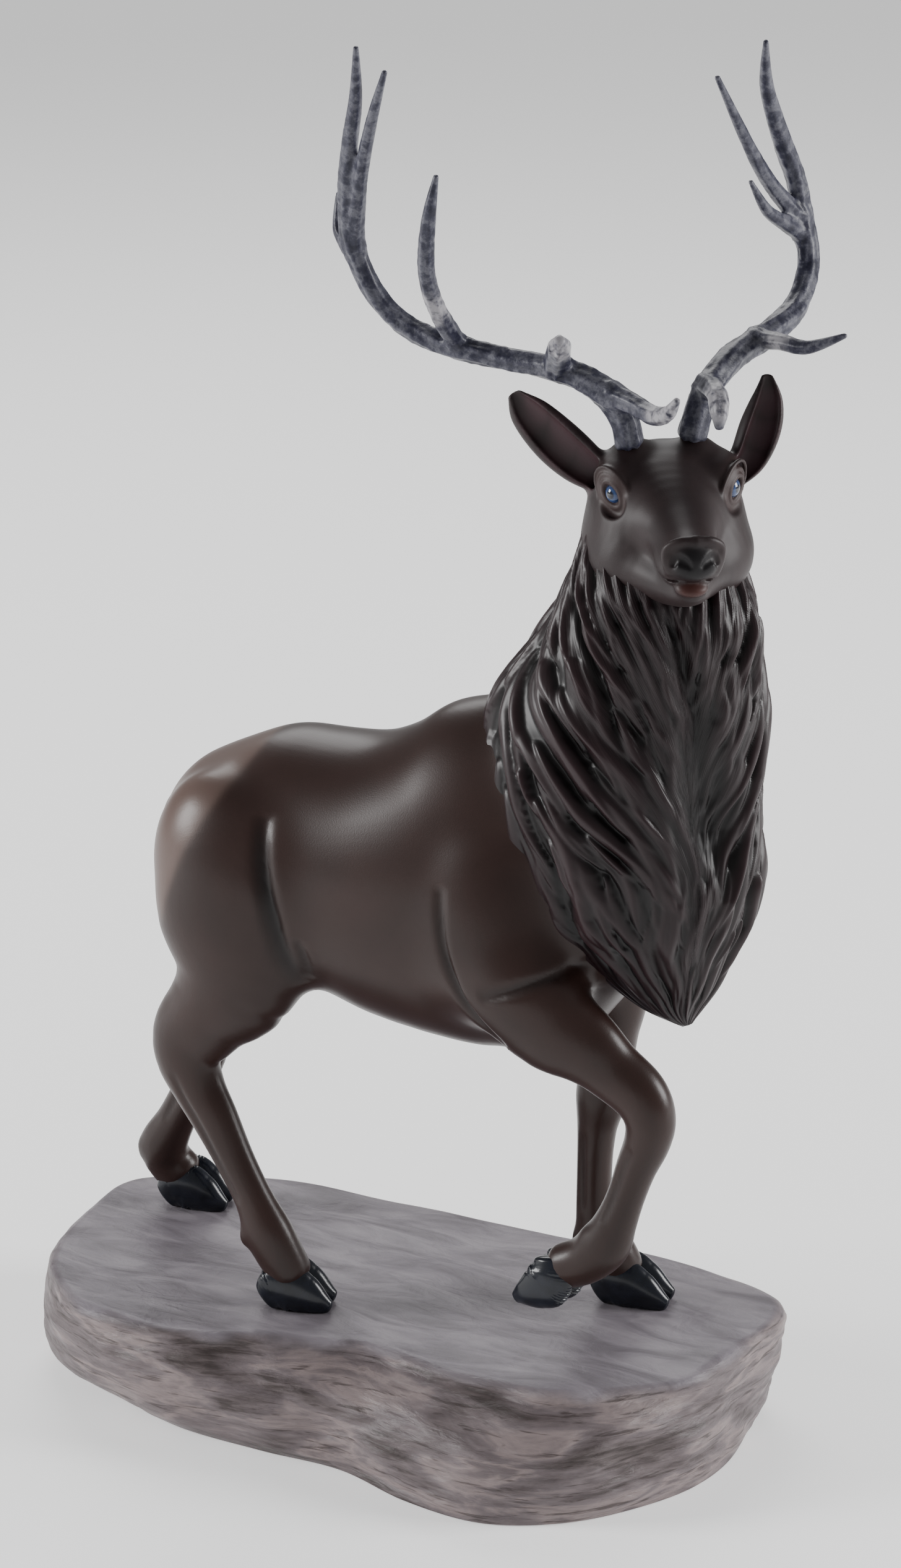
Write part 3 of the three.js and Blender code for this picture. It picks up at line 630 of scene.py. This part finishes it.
def hair_material():
    """The mane's glaze: purplish brown on the ridges, and near black in the grooves as painted
    shade.
    """
    g = Glaze("mane glaze")
    # Painted shade: the ramp runs from the ridges' brown to near black deep in the grooves.
    colour = g.ramp(g.attribute("groove") * 0.5 + 0.5, (0.0, (0.02, 0.0088, 0.0108)),
                    (0.5, (0.009, 0.0036, 0.0046)), (0.85, (0.002, 0.001, 0.0012)))
    lanes = g.node("ShaderNodeCombineXYZ", X=g.attribute("strand") * 48.0,
                   Y=g.attribute("reach") * 60.0)
    hairs = g.node("ShaderNodeTexNoise", Vector=lanes, Scale=1.0, Detail=2, Roughness=0.5)
    return g.finish(hairs, 0.0003, Base_Color=colour, Roughness=0.4, Coat_Weight=0.08,
                    Coat_Roughness=0.24)


add_piece("mane", mane_points, tube_faces(mane_rows, mane_columns), "elk", "elk_glaze",
          hair_material(), groove=groove, strand=strand, reach=reach)

# The head, cast with the mane round its cheeks. It is modelled in its own frame, forward,
# left and up from midway between the eyes, and turned to look over the right shoulder.
head_origin = np.array([49.8, -4.3, 135.7]) * share + [0, 0, elk_seat]


def head_axes(yaw, pitch=8):
    """The head frame's forward, left and up axes, as rows."""
    yaw, pitch = math.radians(yaw), math.radians(pitch)
    forward = [math.cos(yaw) * math.cos(pitch), math.sin(yaw) * math.cos(pitch), -math.sin(pitch)]
    left = [-math.sin(yaw), math.cos(yaw), 0]
    return np.array([forward, left, np.cross(forward, left)])


face_axes = head_axes(-53)
antler_axes = head_axes(-46)


def from_head(points, axes):
    """Points of the head's frame, in metres, placed on the elk."""
    return head_origin + points @ axes


skull = [
    [-14, 0.2, -6.4, 5, 5.4], [-11, 0.1, -6, 6.6, 8.4], [-6, -0.9, -5.4, 8.6, 9.8],
    [-1, -1.3, -4.8, 8, 9.3], [4, -1.3, -4.4, 6.4, 7.2], [9, -1.1, -4.3, 4.6, 5],
    [14, -1.1, -4.4, 3.6, 4], [17.8, -1.1, -4.2, 3, 3.6], [19.4, -1.1, -4.1, 2.3, 3],
]
jaw = [
    [-9, -0.5, -11, 6, 10], [-3, -0.6, -11.6, 6.2, 11.2], [3, -0.8, -11.4, 5.8, 10.2],
    [8, -1, -10.8, 4.6, 7.2], [12.5, -1.1, -10.4, 3.2, 4.4], [16, -1.1, -9.9, 2, 2.9],
    [18, -1.1, -9.3, 1.1, 1.9],
]
ears = {
    "left": ([
        [-6, 8.4, -3, 1.6, 1.8], [-6.6, 11, 0, 2, 2.7], [-7.8, 12.8, 4, 1.9, 3],
        [-9, 13.8, 7.6, 1.4, 2.3], [-9.6, 13.8, 10.8, 0.7, 0.9],
    ], (0.5, 0.85, -0.3)),
    "right": ([
        [-6, -9.4, -2.6, 1.6, 2.6], [-6.4, -12.6, 0, 2, 3.9], [-7.2, -16.3, 3.4, 1.9, 4.2],
        [-8.2, -20, 7.3, 1.4, 3.3], [-8.8, -22, 9.8, 0.7, 1.3],
    ], (0.5, 0.6, 0.6)),
}
eyes = {"left": [0.1, 6.9, -1.4], "right": [0.1, -8.6, -1.6]}
gaze = {"left": unit(np.array([0.64, 0.77, 0.05])), "right": unit(np.array([0.64, -0.77, 0.05]))}
eye_radius = 1.75
# Each lid is three rings: half length, half height, half thickness, and how far out it lies.
lid_rings = ((4.2, 2.6, 0.3, 0.75), (3, 1.95, 0.26, 0.95), (2.0, 1.3, 0.42, 1.15))
head = Clay(np.array([-20, -25, -21]) * share, np.array([24, 18, 14]) * share, 0.00064)
head.limb(skull, 0.002)
head.limb(jaw, 0.006)
middle = -1.1
# Cheeks, brows, the corners of the muzzle, the seats of the antlers, and the nose.
for side in (-1, 1):
    head.ball([-2.5, middle + side * 6, -10.3], [8.4, 5, 8.2], 0.012)
    head.ball([-3, middle + side * 7.2, 0.2], [4.4, 3, 2.4], 0.006)
    head.ball([14.8, middle + side * 2.5, -6], [4, 1.9, 2.2], 0.004)
    head.ball([-4.9, middle - 0.3 + side * 4.5, 1.9], [2.6, 2.5, 2.4], 0.006)
head.ball([18.5, middle, -3.8], [1.9, 3.4, 2.6], 0.003)
head.soften(5)
head.ball([17.7, middle, -8.5], [1.9, 2.3, 1.1], 0.0015)
for side in (-1, 1):
    rim = [[19.2, middle, -0.7, 0.5, 0.5], [19, middle + side * 2, -0.8, 0.6, 0.6],
           [18.3, middle + side * 3.7, -2, 0.6, 0.6], [18.1, middle + side * 3.9, -3.8, 0.5, 0.5],
           [18.5, middle + side * 3.3, -5.4, 0.3, 0.3]]
    head.limb(rim, 0.003, across=(1, 0, 0))
    slot = [[20.9, middle + side * 0.9, -4, 0.4, 0.4], [20.7, middle + side * 1.8, -3.2, 0.8, 0.8],
            [20, middle + side * 2.8, -3, 0.8, 0.8], [19.5, middle + side * 3.1, -4.2, 0.4, 0.4]]
    head.limb(slot, 0.001, across=(1, 0, 0), cut=True)
    # The mouth's slit, from the middle of the lip to its corner.
    slit = [[20.1, middle, -6.9, 0.35, 0.6], [18.9, middle + side * 2.2, -7, 0.35, 0.9],
            [16.2, middle + side * 3.7, -7.6, 0.3, 1], [12.6, middle + side * 4.9, -8.6, 0.2, 0.8]]
    head.limb(slit, 0.0006, across=(1, side, 0), cut=True)
lid_axes = {}
for name, centre in eyes.items():
    look = gaze[name]
    level = np.array([0.58, -0.48 if name == "left" else 0.48, -0.67])
    level = unit(level - look * (level @ look))
    upright = np.cross(look, level)
    lid_axes[name] = (look, level, upright)
    head.ball(np.array(centre) + look * 2.1, [1.1, 3.6, 2.3], 0.002, cut=True,
              turn=[look, level, upright])
    for long, short, thick, out_by in lid_rings:
        lid = [np.append(np.array(centre) + look * out_by + level * long * np.cos(a)
                         + upright * short * np.sin(a), [thick, thick])
               for a in np.linspace(0, 2 * np.pi, 15)]
        head.limb(lid, 0.0012, across=look)
for rows, across in ears.values():
    head.limb(rows, 0.004, across=across, per_span=4)
    hollow = [[f + 0.8 * a, l, u + 0.2, a * 0.75, b * 0.66] for f, l, u, a, b in rows]
    head.limb(hollow, 0.001, across=across, per_span=4, cut=True)

points, quads, _ = head.surface()


def soft_egg(centre, half, edge=0.12):
    """1 inside an egg in the head's frame and 0 outside, with a soft edge."""
    r = np.sqrt((((points / share - centre) / half) ** 2).sum(1))
    return 1 / (1 + np.exp((r - 1) / edge))


nose = soft_egg([20.5, middle, -3.7], [2.6, 3.5, 2.6])
lip = soft_egg([19, middle, -8.2], [2.2, 2, 0.9])
lids = np.zeros(len(points))
for name, centre in eyes.items():
    q = (points / share - centre) @ np.array(lid_axes[name]).T / [2.8, 4.5, 2.9]
    lids = np.maximum(lids, 1 / (1 + np.exp((np.sqrt((q ** 2).sum(1)) - 1) / 0.05)))
ear_inside = np.zeros(len(points))
for rows, _ in ears.values():
    for k in range(1, 4):
        c = np.array(rows[k][:3]) + [1.2, 0, 0.2]
        size = [1.5, rows[k][4] * 0.8, rows[k][4] * 1.1]
        ear_inside = np.maximum(ear_inside, soft_egg(c, size))


def face_material():
    """The head's glaze: brown, with a dark nose, a reddish lip, tan lids and mauve ears."""
    g = Glaze("face glaze")
    cloud = g.noise(0.02, 3).between(0.35, 0.65)
    colour = g.mix(cloud, (0.014, 0.0075, 0.008), (0.021, 0.012, 0.0125))
    colour = g.mix(g.attribute("ear"), colour, (0.042, 0.021, 0.025))
    colour = g.mix(g.attribute("lid"), colour, (0.03, 0.016, 0.0155))
    colour = g.mix(g.attribute("nose"), colour, (0.002, 0.001, 0.002))
    colour = g.mix(g.attribute("lip"), colour, (0.05, 0.017, 0.014))
    return g.finish(g.noise(0.0006, 2), 0.00003, Base_Color=colour, Roughness=0.5,
                    Coat_Weight=0.03, Coat_Roughness=0.3)


add_piece("head", from_head(points, face_axes), quads, "elk", "elk_glaze", face_material(),
          nose=nose, lip=lip, lid=lids, ear=ear_inside)


# The eyes, small balls of the same casting set between the lids, painted blue round a black
# pupil and glazed to a shine.
def globe(rows=48, columns=96):
    """A ball's unit points, ring by ring from pole to pole, with both poles last."""
    a = np.linspace(0, np.pi, rows + 2)[1:-1, None]
    b = np.linspace(0, 2 * np.pi, columns, endpoint=False)[None, :]
    ring = np.stack([np.sin(a) * np.cos(b), np.sin(a) * np.sin(b), np.cos(a) + 0 * b], -1)
    return np.vstack([ring.reshape(-1, 3), [0, 0, 1], [0, 0, -1]]), tube_faces(rows, columns)


def eye_material():
    """Blue that darkens to a black pupil and to the rim, by the angle from the eye's gaze."""
    g = Glaze("eye glaze")
    colour = g.ramp(g.attribute("sight"), (0.0, (0.01, 0.01, 0.014)), (0.6, (0.015, 0.02, 0.04)),
                    (0.76, (0.018, 0.035, 0.1)), (0.9, (0.035, 0.065, 0.16)),
                    (0.96, (0.004, 0.005, 0.012)))
    return g.finish(Base_Color=colour, Roughness=0.06, Coat_Weight=0.6, Coat_Roughness=0.03)


ball_points, ball_faces = globe()
eye_glaze = eye_material()
for name, centre in eyes.items():
    at = (np.array(centre) + ball_points * eye_radius) * share
    add_piece("eye_" + name, from_head(at, face_axes), ball_faces, "elk", "elk_glaze",
              eye_glaze, sight=np.clip(ball_points @ gaze[name], 0, 1))

# The hooves, cast with the legs: two toes each, flat under the sole and split by a cleft,
# under a blue-black glaze. Each hoof is [heel], its length, its heading and how far it points
# down; a toe's rows are its place along, centre height, half height and share of the width.
toe_width, toe_split = 3.4, 0.4
hooves = {
    "hind_right": ([-13.4, -12.4, 0], 9.4, 20, 0),
    "hind_left": ([-46.8, 13.4, 0], 9.2, 16, 0),
    "fore_right": ([31.7, -8.4, 17.1], 8.6, -3, 120),
    "fore_left": ([29.6, 13.8, 0], 10.2, 14, 0),
}
toe_sections = [[0, 1.9, 2.4, 0.62], [0.16, 3, 3.6, 0.92], [0.36, 3.5, 4, 1.06],
                [0.6, 2.7, 3.3, 1.04], [0.82, 1.6, 2.3, 0.86], [1, 0.8, 1.2, 0.5]]
toes = Clay(np.array([-2, -5.6, -1.4]) * share, np.array([12.4, 5.6, 9.6]) * share, 0.0004)
hoof_glaze = Glaze("hoof glaze")
cloud = hoof_glaze.noise(0.006, 3).between(0.3, 0.7)
colour = hoof_glaze.mix(cloud, (0.003, 0.004, 0.007), (0.009, 0.011, 0.018))
hoof_material = hoof_glaze.finish(Base_Color=colour, Roughness=0.26, Coat_Weight=0.25,
                                  Coat_Roughness=0.14)
for name, (heel, long, heading, pitch) in hooves.items():
    toes.value[:] = far
    for side in (-1, 1):
        middle = side * (toe_width + toe_split) / 2
        rows = [[a * long, middle, height, half_height, part * toe_width * 0.54]
                for a, height, half_height, part in toe_sections]
        toes.limb(rows, 0.0005, per_span=5, floor=lambda x, y, z: 0 * x + 0 * y - z)
    points, quads, _ = toes.surface()
    a, b = math.radians(heading), math.radians(pitch)
    forward = [math.cos(a) * math.cos(b), math.sin(a) * math.cos(b), -math.sin(b)]
    left = [-math.sin(a), math.cos(a), 0]
    axes = np.array([forward, left, np.cross(forward, left)])
    points = points @ axes + np.array(heel) * share + [0, 0, elk_seat]
    add_piece("hoof_" + name, points, quads, "elk", "elk_glaze", hoof_material)

# The antlers, cast on their own and set on the skull: round beams and tines with grooves
# along them and pearls at their roots, mottled blue-grey, and worn pale at some tips.
antlers = {
    "right": {
        "beam": [
            [-4.7, -6.1, 4.2, 2.1], [-5.2, -7, 7.6, 2], [-6.6, -9.25, 10.8, 2.07],
            [-11, -13.65, 12.6, 1.88], [-17.7, -20.15, 12.2, 1.69], [-24, -26.85, 12.2, 1.79],
            [-29, -32.25, 13.6, 1.6], [-32, -36.25, 17.8, 1.5], [-33.6, -39.05, 24.5, 1.6],
            [-32.9, -40.25, 31.4, 1.41], [-30.4, -40.85, 40, 1.22], [-27.4, -40.95, 48.5, 0.94],
            [-23.8, -42.05, 57, 0.4],
        ],
        "tines": [
            [[-6, -8.65, 11, 1.79], [-1.4, -6.65, 11.1, 1.5], [3, -5.45, 11.3, 1.41],
             [7, -4.65, 13, 1.13], [9, -3.95, 15.8, 0.5]],
            [[-12.3, -14.85, 12.7, 1.79], [-8.7, -15.75, 15.9, 1.79], [-5.1, -16.75, 18.9, 1.6],
             [-3.6, -17.25, 20.4, 0.85]],
            [[-23.1, -25.95, 12.4, 1.41], [-20.2, -30.25, 19.5, 1.32], [-17.7, -32.65, 26.6, 1.22],
             [-15.9, -33.05, 34.5, 1.03], [-15.2, -32.45, 41, 0.4]],
            [[-33.2, -38.85, 24.5, 1.32], [-30, -39.25, 35.3, 1.03], [-25, -39.25, 45.6, 0.85],
             [-20.2, -38.85, 54.6, 0.4]],
            [[-33.6, -38.85, 23.6, 1.32], [-36.6, -40.25, 25.6, 1.03], [-38.8, -40.05, 30.2, 0.4]],
        ],
        "worn": [([7.5, -4.2, 13.6], 4.4), ([-4.6, -16.6, 19.4], 2.4), ([-19.6, -30.6, 20], 3)],
    },
    "left": {
        "beam": [
            [-4.7, 3.1, 4.6, 2.2], [-5.2, 3.8, 7, 2.1], [-7, 5.55, 10, 1.97],
            [-12.3, 10.95, 12.6, 1.97], [-19.1, 18.85, 13.2, 1.88], [-25, 24.35, 14.6, 1.79],
            [-30.2, 27.55, 18.6, 1.6], [-32.8, 27.15, 24, 1.69], [-33.2, 25.95, 30, 1.5],
            [-31.8, 22.75, 37.3, 1.41], [-28.2, 18.85, 46.4, 1.03], [-23.8, 16.75, 54.7, 0.4],
        ],
        "tines": [
            [[-7, 5.35, 10.6, 1.79], [-2.2, 4.85, 12.2, 1.6], [1.8, 4.25, 12.8, 1.5],
             [4.4, 3.75, 11.6, 1.32], [5.4, 3.55, 9.8, 0.66]],
            [[-16.4, 15.45, 13.4, 1.5], [-11.6, 17.35, 14.7, 1.22], [-7.2, 20.05, 15.4, 1.03],
             [-3.4, 24.15, 18.4, 0.4]],
            [[-32.3, 27.05, 22.3, 1.32], [-29.6, 23.15, 25.4, 1.13], [-27.2, 19.65, 28.4, 0.85],
             [-25.6, 16.45, 33.4, 0.35]],
            [[-32.6, 26.75, 24.5, 1.41], [-29.6, 21.05, 31, 1.13], [-25.6, 15.95, 38.6, 0.94],
             [-19.9, 8.65, 51.3, 0.4]],
        ],
        "worn": [([2.8, 4.3, 12], 3.6), ([-11, 17.8, 14.8], 2)],
    },
}


def antler_material():
    """The antlers' glaze: slate and indigo clouds, painted shade in the grooves, pale where it is
    worn.
    """
    g = Glaze("antler glaze")
    colour = g.ramp(g.noise(0.006, 5, 0.65), (0.36, (0.012, 0.012, 0.025)),
                    (0.47, (0.032, 0.032, 0.052)), (0.58, (0.1, 0.1, 0.122)),
                    (0.7, (0.028, 0.028, 0.048)))
    colour = g.mix(g.attribute("worn") * g.noise(0.003, 3).between(0.3, 0.55), colour,
                   (0.3, 0.29, 0.31))
    # Painted shade: darker down in the grooves.
    colour = g.mix(g.attribute("groove").clamp(), colour, (0.01, 0.011, 0.022))
    return g.finish(g.noise(0.0008, 3), 0.00012, Base_Color=colour, Roughness=0.42,
                    Coat_Weight=0.1, Coat_Roughness=0.3)


antler_glaze = antler_material()
for name, shape in antlers.items():
    paths = [shape["beam"], *shape["tines"]]
    rows = np.vstack(paths) * share
    clay = Clay(rows[:, :3].min(0) - 0.009, rows[:, :3].max(0) + 0.009, 0.0007)
    samples = []
    for path in paths:
        row = np.array(path, float)
        row = np.hstack([row, row[:, 3:4]])
        spread = np.abs(row[-1, :3] - row[0, :3])
        across = (spread == spread.min()).astype(float)
        clay.limb(row, 0.003, across=across, per_span=5)
        middle, _, depth, width, half = rail(row, 5, across)
        samples.append(np.hstack([middle, depth, width, half[:, :1],
                                  np.linspace(0, 1, len(middle))[:, None]]))
    points, quads, out = clay.surface()
    samples = np.vstack(samples)
    nearest = np.zeros(len(points), int)
    for k in range(0, len(points), 4000):
        gap = np.linalg.norm(points[k:k + 4000, None, :] - samples[None, :, :3], axis=2)
        nearest[k:k + 4000] = (gap - samples[:, 9]).argmin(1)
    near = samples[nearest]
    q = points - near[:, :3]
    angle = np.arctan2((q * near[:, 6:9]).sum(1), (q * near[:, 3:6]).sum(1))
    keep = np.clip(near[:, 9] / share - 0.6, 0, 1) * np.clip(4 * (1 - near[:, 10]), 0, 1)
    wobble = ripple(points, 0.03, 3)
    ridge = np.cos(6 * angle + 2.4 * wobble)
    carve = keep * (0.00028 * ridge - 0.00014) + 0.00018 * ripple(points, 0.005, 5) * keep
    worn = np.zeros(len(points))
    for spot, size in shape["worn"]:
        r = np.linalg.norm(points / share - spot, axis=1) / size + 0.25 * ripple(points, 0.008, 9)
        worn = np.maximum(worn, 1 / (1 + np.exp((r - 1) / 0.1)))
    # The grooves, but not the worn spots, darken the glaze as painted shade.
    add_piece("antler_" + name, from_head(points + out * carve[:, None], antler_axes), quads,
              "antler_" + name, "antler_glaze", antler_glaze,
              worn=worn, groove=keep * np.clip(-0.5 * ridge - 0.1, 0, 1) * (1 - worn))

# The rock, a hollow casting with a smooth waved top and sides in thin beds of stone. Rows of
# its outline are [x, y] as shares of the half length and half width, then how far the rim and
# the foot draw in, as shares of the height: by a parabola up and down from half height.
rock_length, rock_width, rock_height, rock_rim = 0.318, 0.186, 0.05, 0.007
rock_outline = [
    [-0.98, -0.22, 0.04, 0.06], [-0.87, -0.53, 0.02, 0.28], [-0.69, -0.75, 0, 0.42],
    [-0.42, -0.86, 0.08, 0.3], [-0.14, -0.81, 0.22, 0.14], [0.1, -0.76, 0.4, 0.05],
    [0.34, -0.84, 0.5, -0.04], [0.56, -0.88, 0.56, -0.02], [0.74, -0.76, 0.4, 0.04],
    [0.86, -0.5, 0.24, 0.02], [0.95, -0.12, 0.06, 0], [0.97, 0.3, 0, 0.06],
    [0.93, 0.76, -0.08, 0.26], [0.68, 0.98, -0.03, 0.2], [0.2, 0.99, -0.04, 0.1],
    [-0.26, 0.97, -0.04, 0.1], [-0.7, 0.91, -0.04, 0.1], [-0.985, 0.62, -0.07, 0.1],
    [-1, 0.18, -0.05, 0.06],
]
rock_columns, wall_rows, rim_rows, top_rows = 720, 44, 10, 66
t = np.arange(rock_columns) / rock_columns * len(rock_outline)
line = row_at(rock_outline, t, closed=True)
edge_xy = line[:, :2] * [rock_length / 2, rock_width / 2]
way = np.roll(edge_xy, -4, 0) - np.roll(edge_xy, 4, 0)
rock_out = unit(np.stack([way[:, 1], -way[:, 0]], 1))
rim_in, foot_in = line[:, 2] * rock_height, line[:, 3] * rock_height
rings = []
wall_top = rock_height - rock_rim
for v in np.linspace(0, 1, wall_rows):
    draw = foot_in * (1 - 2 * v) ** 2 if v < 0.5 else rim_in * (2 * v - 1) ** 2
    rings.append(np.column_stack([edge_xy - rock_out * draw[:, None],
                                  np.full(rock_columns, v * wall_top)]))
for a in np.linspace(0, np.pi / 2, rim_rows + 1)[1:]:
    draw = rim_in + rock_rim * (1 - math.cos(a))
    rings.append(np.column_stack([edge_xy - rock_out * draw[:, None],
                                  np.full(rock_columns, wall_top + rock_rim * math.sin(a))]))
for part in np.linspace(1, 0, top_rows + 1)[1:-1]:
    rings.append(np.column_stack([rings[wall_rows + rim_rows - 1][:, :2] * part,
                                  np.full(rock_columns, rock_height)]))
points = np.vstack(rings)
is_top = np.clip((points[:, 2] - wall_top) / rock_rim, 0, 1)
x, y, z = points.T
wave = 0.5 - 0.5 * np.sin(x / 0.017 + 1.6 * np.sin(y / 0.026)) * np.cos(y / 0.021 - x / 0.06)
clear = np.ones(len(points))
for heel, long, heading, pitch in hooves.values():
    if pitch == 0:
        a = math.radians(heading)
        middle = (np.array(heel[:2]) + long / 2 * np.array([math.cos(a), math.sin(a)])) * share
        gap = np.hypot(x - middle[0], y - middle[1])
        clear = np.minimum(clear, np.clip((gap - 0.016) / 0.018, 0, 1))
inland = np.repeat(np.concatenate([np.zeros(wall_rows), np.linspace(0, 0.3, rim_rows),
                                   np.linspace(0.3, 1, top_rows - 1)]), rock_columns)
dip = 0.0016 * clear * wave * np.clip(inland * 3, 0, 1)
steps = np.column_stack([np.tile(rock_out, (len(rings), 1)), np.zeros(len(points))])
side_part = 1 - is_top
ledges = np.sin(z / 0.0042 + 2.6 * ripple(points, 0.08, 21))
push = side_part * np.clip(z / 0.004, 0, 1) * (
    0.0007 * ledges + 0.0016 * ripple(points * [1, 1, 1.8], 0.045, 22)
    + 0.0005 * ripple(points * [1, 1, 3], 0.015, 23))
points = points + steps * push[:, None]
points[:, 2] -= dip + is_top * clear * 0.001 * (1 + ripple(points, 0.05, 24))
points = np.vstack([points, [0, 0, 0], [0, 0, points[-rock_columns:, 2].mean()]])
faces = tube_faces(len(rings), rock_columns)


def rock_material():
    """The rock's glaze: lilac-grey brush strokes on top, and on the sides long streaks of
    brown, grey, pink and cream, with thin dark cracks."""
    g = Glaze("rock glaze")

    def strokes(size, flat, detail, seed):
        """Noise drawn out level, `flat` times longer than high."""
        place = g.node("ShaderNodeMapping", Vector=g.place(), Location=(seed, 0, 0),
                       Scale=(1, 1, flat))
        return g.node("ShaderNodeTexNoise", Vector=place, Scale=1 / size, Detail=detail,
                      Roughness=0.55, Distortion=0.5)

    brush = g.node("ShaderNodeMapping", Vector=g.place(), Rotation=(0, 0, 0.5), Scale=(0.3, 1, 1))
    brush = g.node("ShaderNodeTexNoise", Vector=brush, Scale=90, Detail=4, Roughness=0.55,
                   Distortion=0.6)
    top = g.ramp(brush, (0.35, (0.13, 0.116, 0.13)), (0.5, (0.18, 0.162, 0.182)),
                 (0.65, (0.235, 0.213, 0.234)))
    side = g.ramp(strokes(0.05, 4.5, 5, 0), (0.36, (0.05, 0.039, 0.038)),
                  (0.44, (0.1, 0.081, 0.084)), (0.52, (0.145, 0.12, 0.126)),
                  (0.59, (0.25, 0.202, 0.198)), (0.66, (0.13, 0.106, 0.11)))
    side = g.mix(strokes(0.016, 9, 4, 3).between(0.4, 0.7) * 0.4, side, (0.23, 0.19, 0.192))
    side = g.mix(strokes(0.02, 12, 4, 7).between(0.56, 0.66) * 0.75, side, (0.045, 0.034, 0.032))
    colour = g.mix(g.attribute("top"), side, top)
    height = brush * g.attribute("top") * 1.4 + strokes(0.012, 5, 4, 5)
    return g.finish(height, 0.0009, Base_Color=colour, Roughness=0.46)


top_mask = np.append(np.clip(is_top * 1.2 - 0.35 + 0.5 * ripple(points[:-2], 0.03, 25), 0, 1)
                     * np.clip(is_top * 3, 0, 1), [0, 1])
top_mask = np.maximum(top_mask, np.append(np.clip(inland * 8 - 1, 0, 1), [0, 1]))
add_piece("rock", points, faces, "rock_base", "rock_glaze", rock_material(), top=top_mask)

# The studio: a pale floor, three soft square lamps in a white room, and the camera, which
# looks at the elk from its right and a little above.
bpy.ops.mesh.primitive_plane_add(size=12, location=(0, 0, -0.0004))
floor = bpy.context.object
floor.name = "floor"
pale = Glaze("pale floor")
floor.data.materials.append(pale.finish(Base_Color=(0.9, 0.9, 0.9), Roughness=0.9,
                                        Emission_Color=(1, 1, 1), Emission_Strength=0.46))


def softbox(name, place, size, power, aim=(0.02, -0.01, 0.25)):
    """A square lamp that faces the elk."""
    lamp = bpy.data.lights.new(name, "AREA")
    lamp.shape, lamp.size, lamp.energy = "SQUARE", size, power
    holder = bpy.data.objects.new(name, lamp)
    bpy.context.scene.collection.objects.link(holder)
    holder.location = place
    holder.rotation_euler = (Vector(aim) - Vector(place)).to_track_quat("-Z", "Y").to_euler()


softbox("left softbox", (-1.65, -1.05, 0.8), 0.7, 40)
softbox("right softbox", (1.7, 0.8, 0.8), 0.8, 40)
softbox("back softbox", (-0.95, 1.3, 1.6), 1.2, 20)
world = bpy.data.worlds.new("white room")
bpy.context.scene.world = world
world.use_nodes = True
world.node_tree.nodes["Background"].inputs[0].default_value = (1, 1, 1, 1)
world.node_tree.nodes["Background"].inputs[1].default_value = 0.32

camera = bpy.data.objects.new("camera", bpy.data.cameras.new("camera"))
bpy.context.scene.collection.objects.link(camera)
bpy.context.scene.camera = camera
round_by, up_by, away = math.radians(29), math.radians(19), 2.2
back = Vector((math.sin(round_by) * math.cos(up_by), -math.cos(round_by) * math.cos(up_by),
               math.sin(up_by)))
camera.location = Vector((0.044, -0.024, 0.29)) + away * back
camera.rotation_euler = (-back).to_track_quat("-Z", "Y").to_euler()
camera.data.sensor_width = 36
camera.data.lens = 126.6
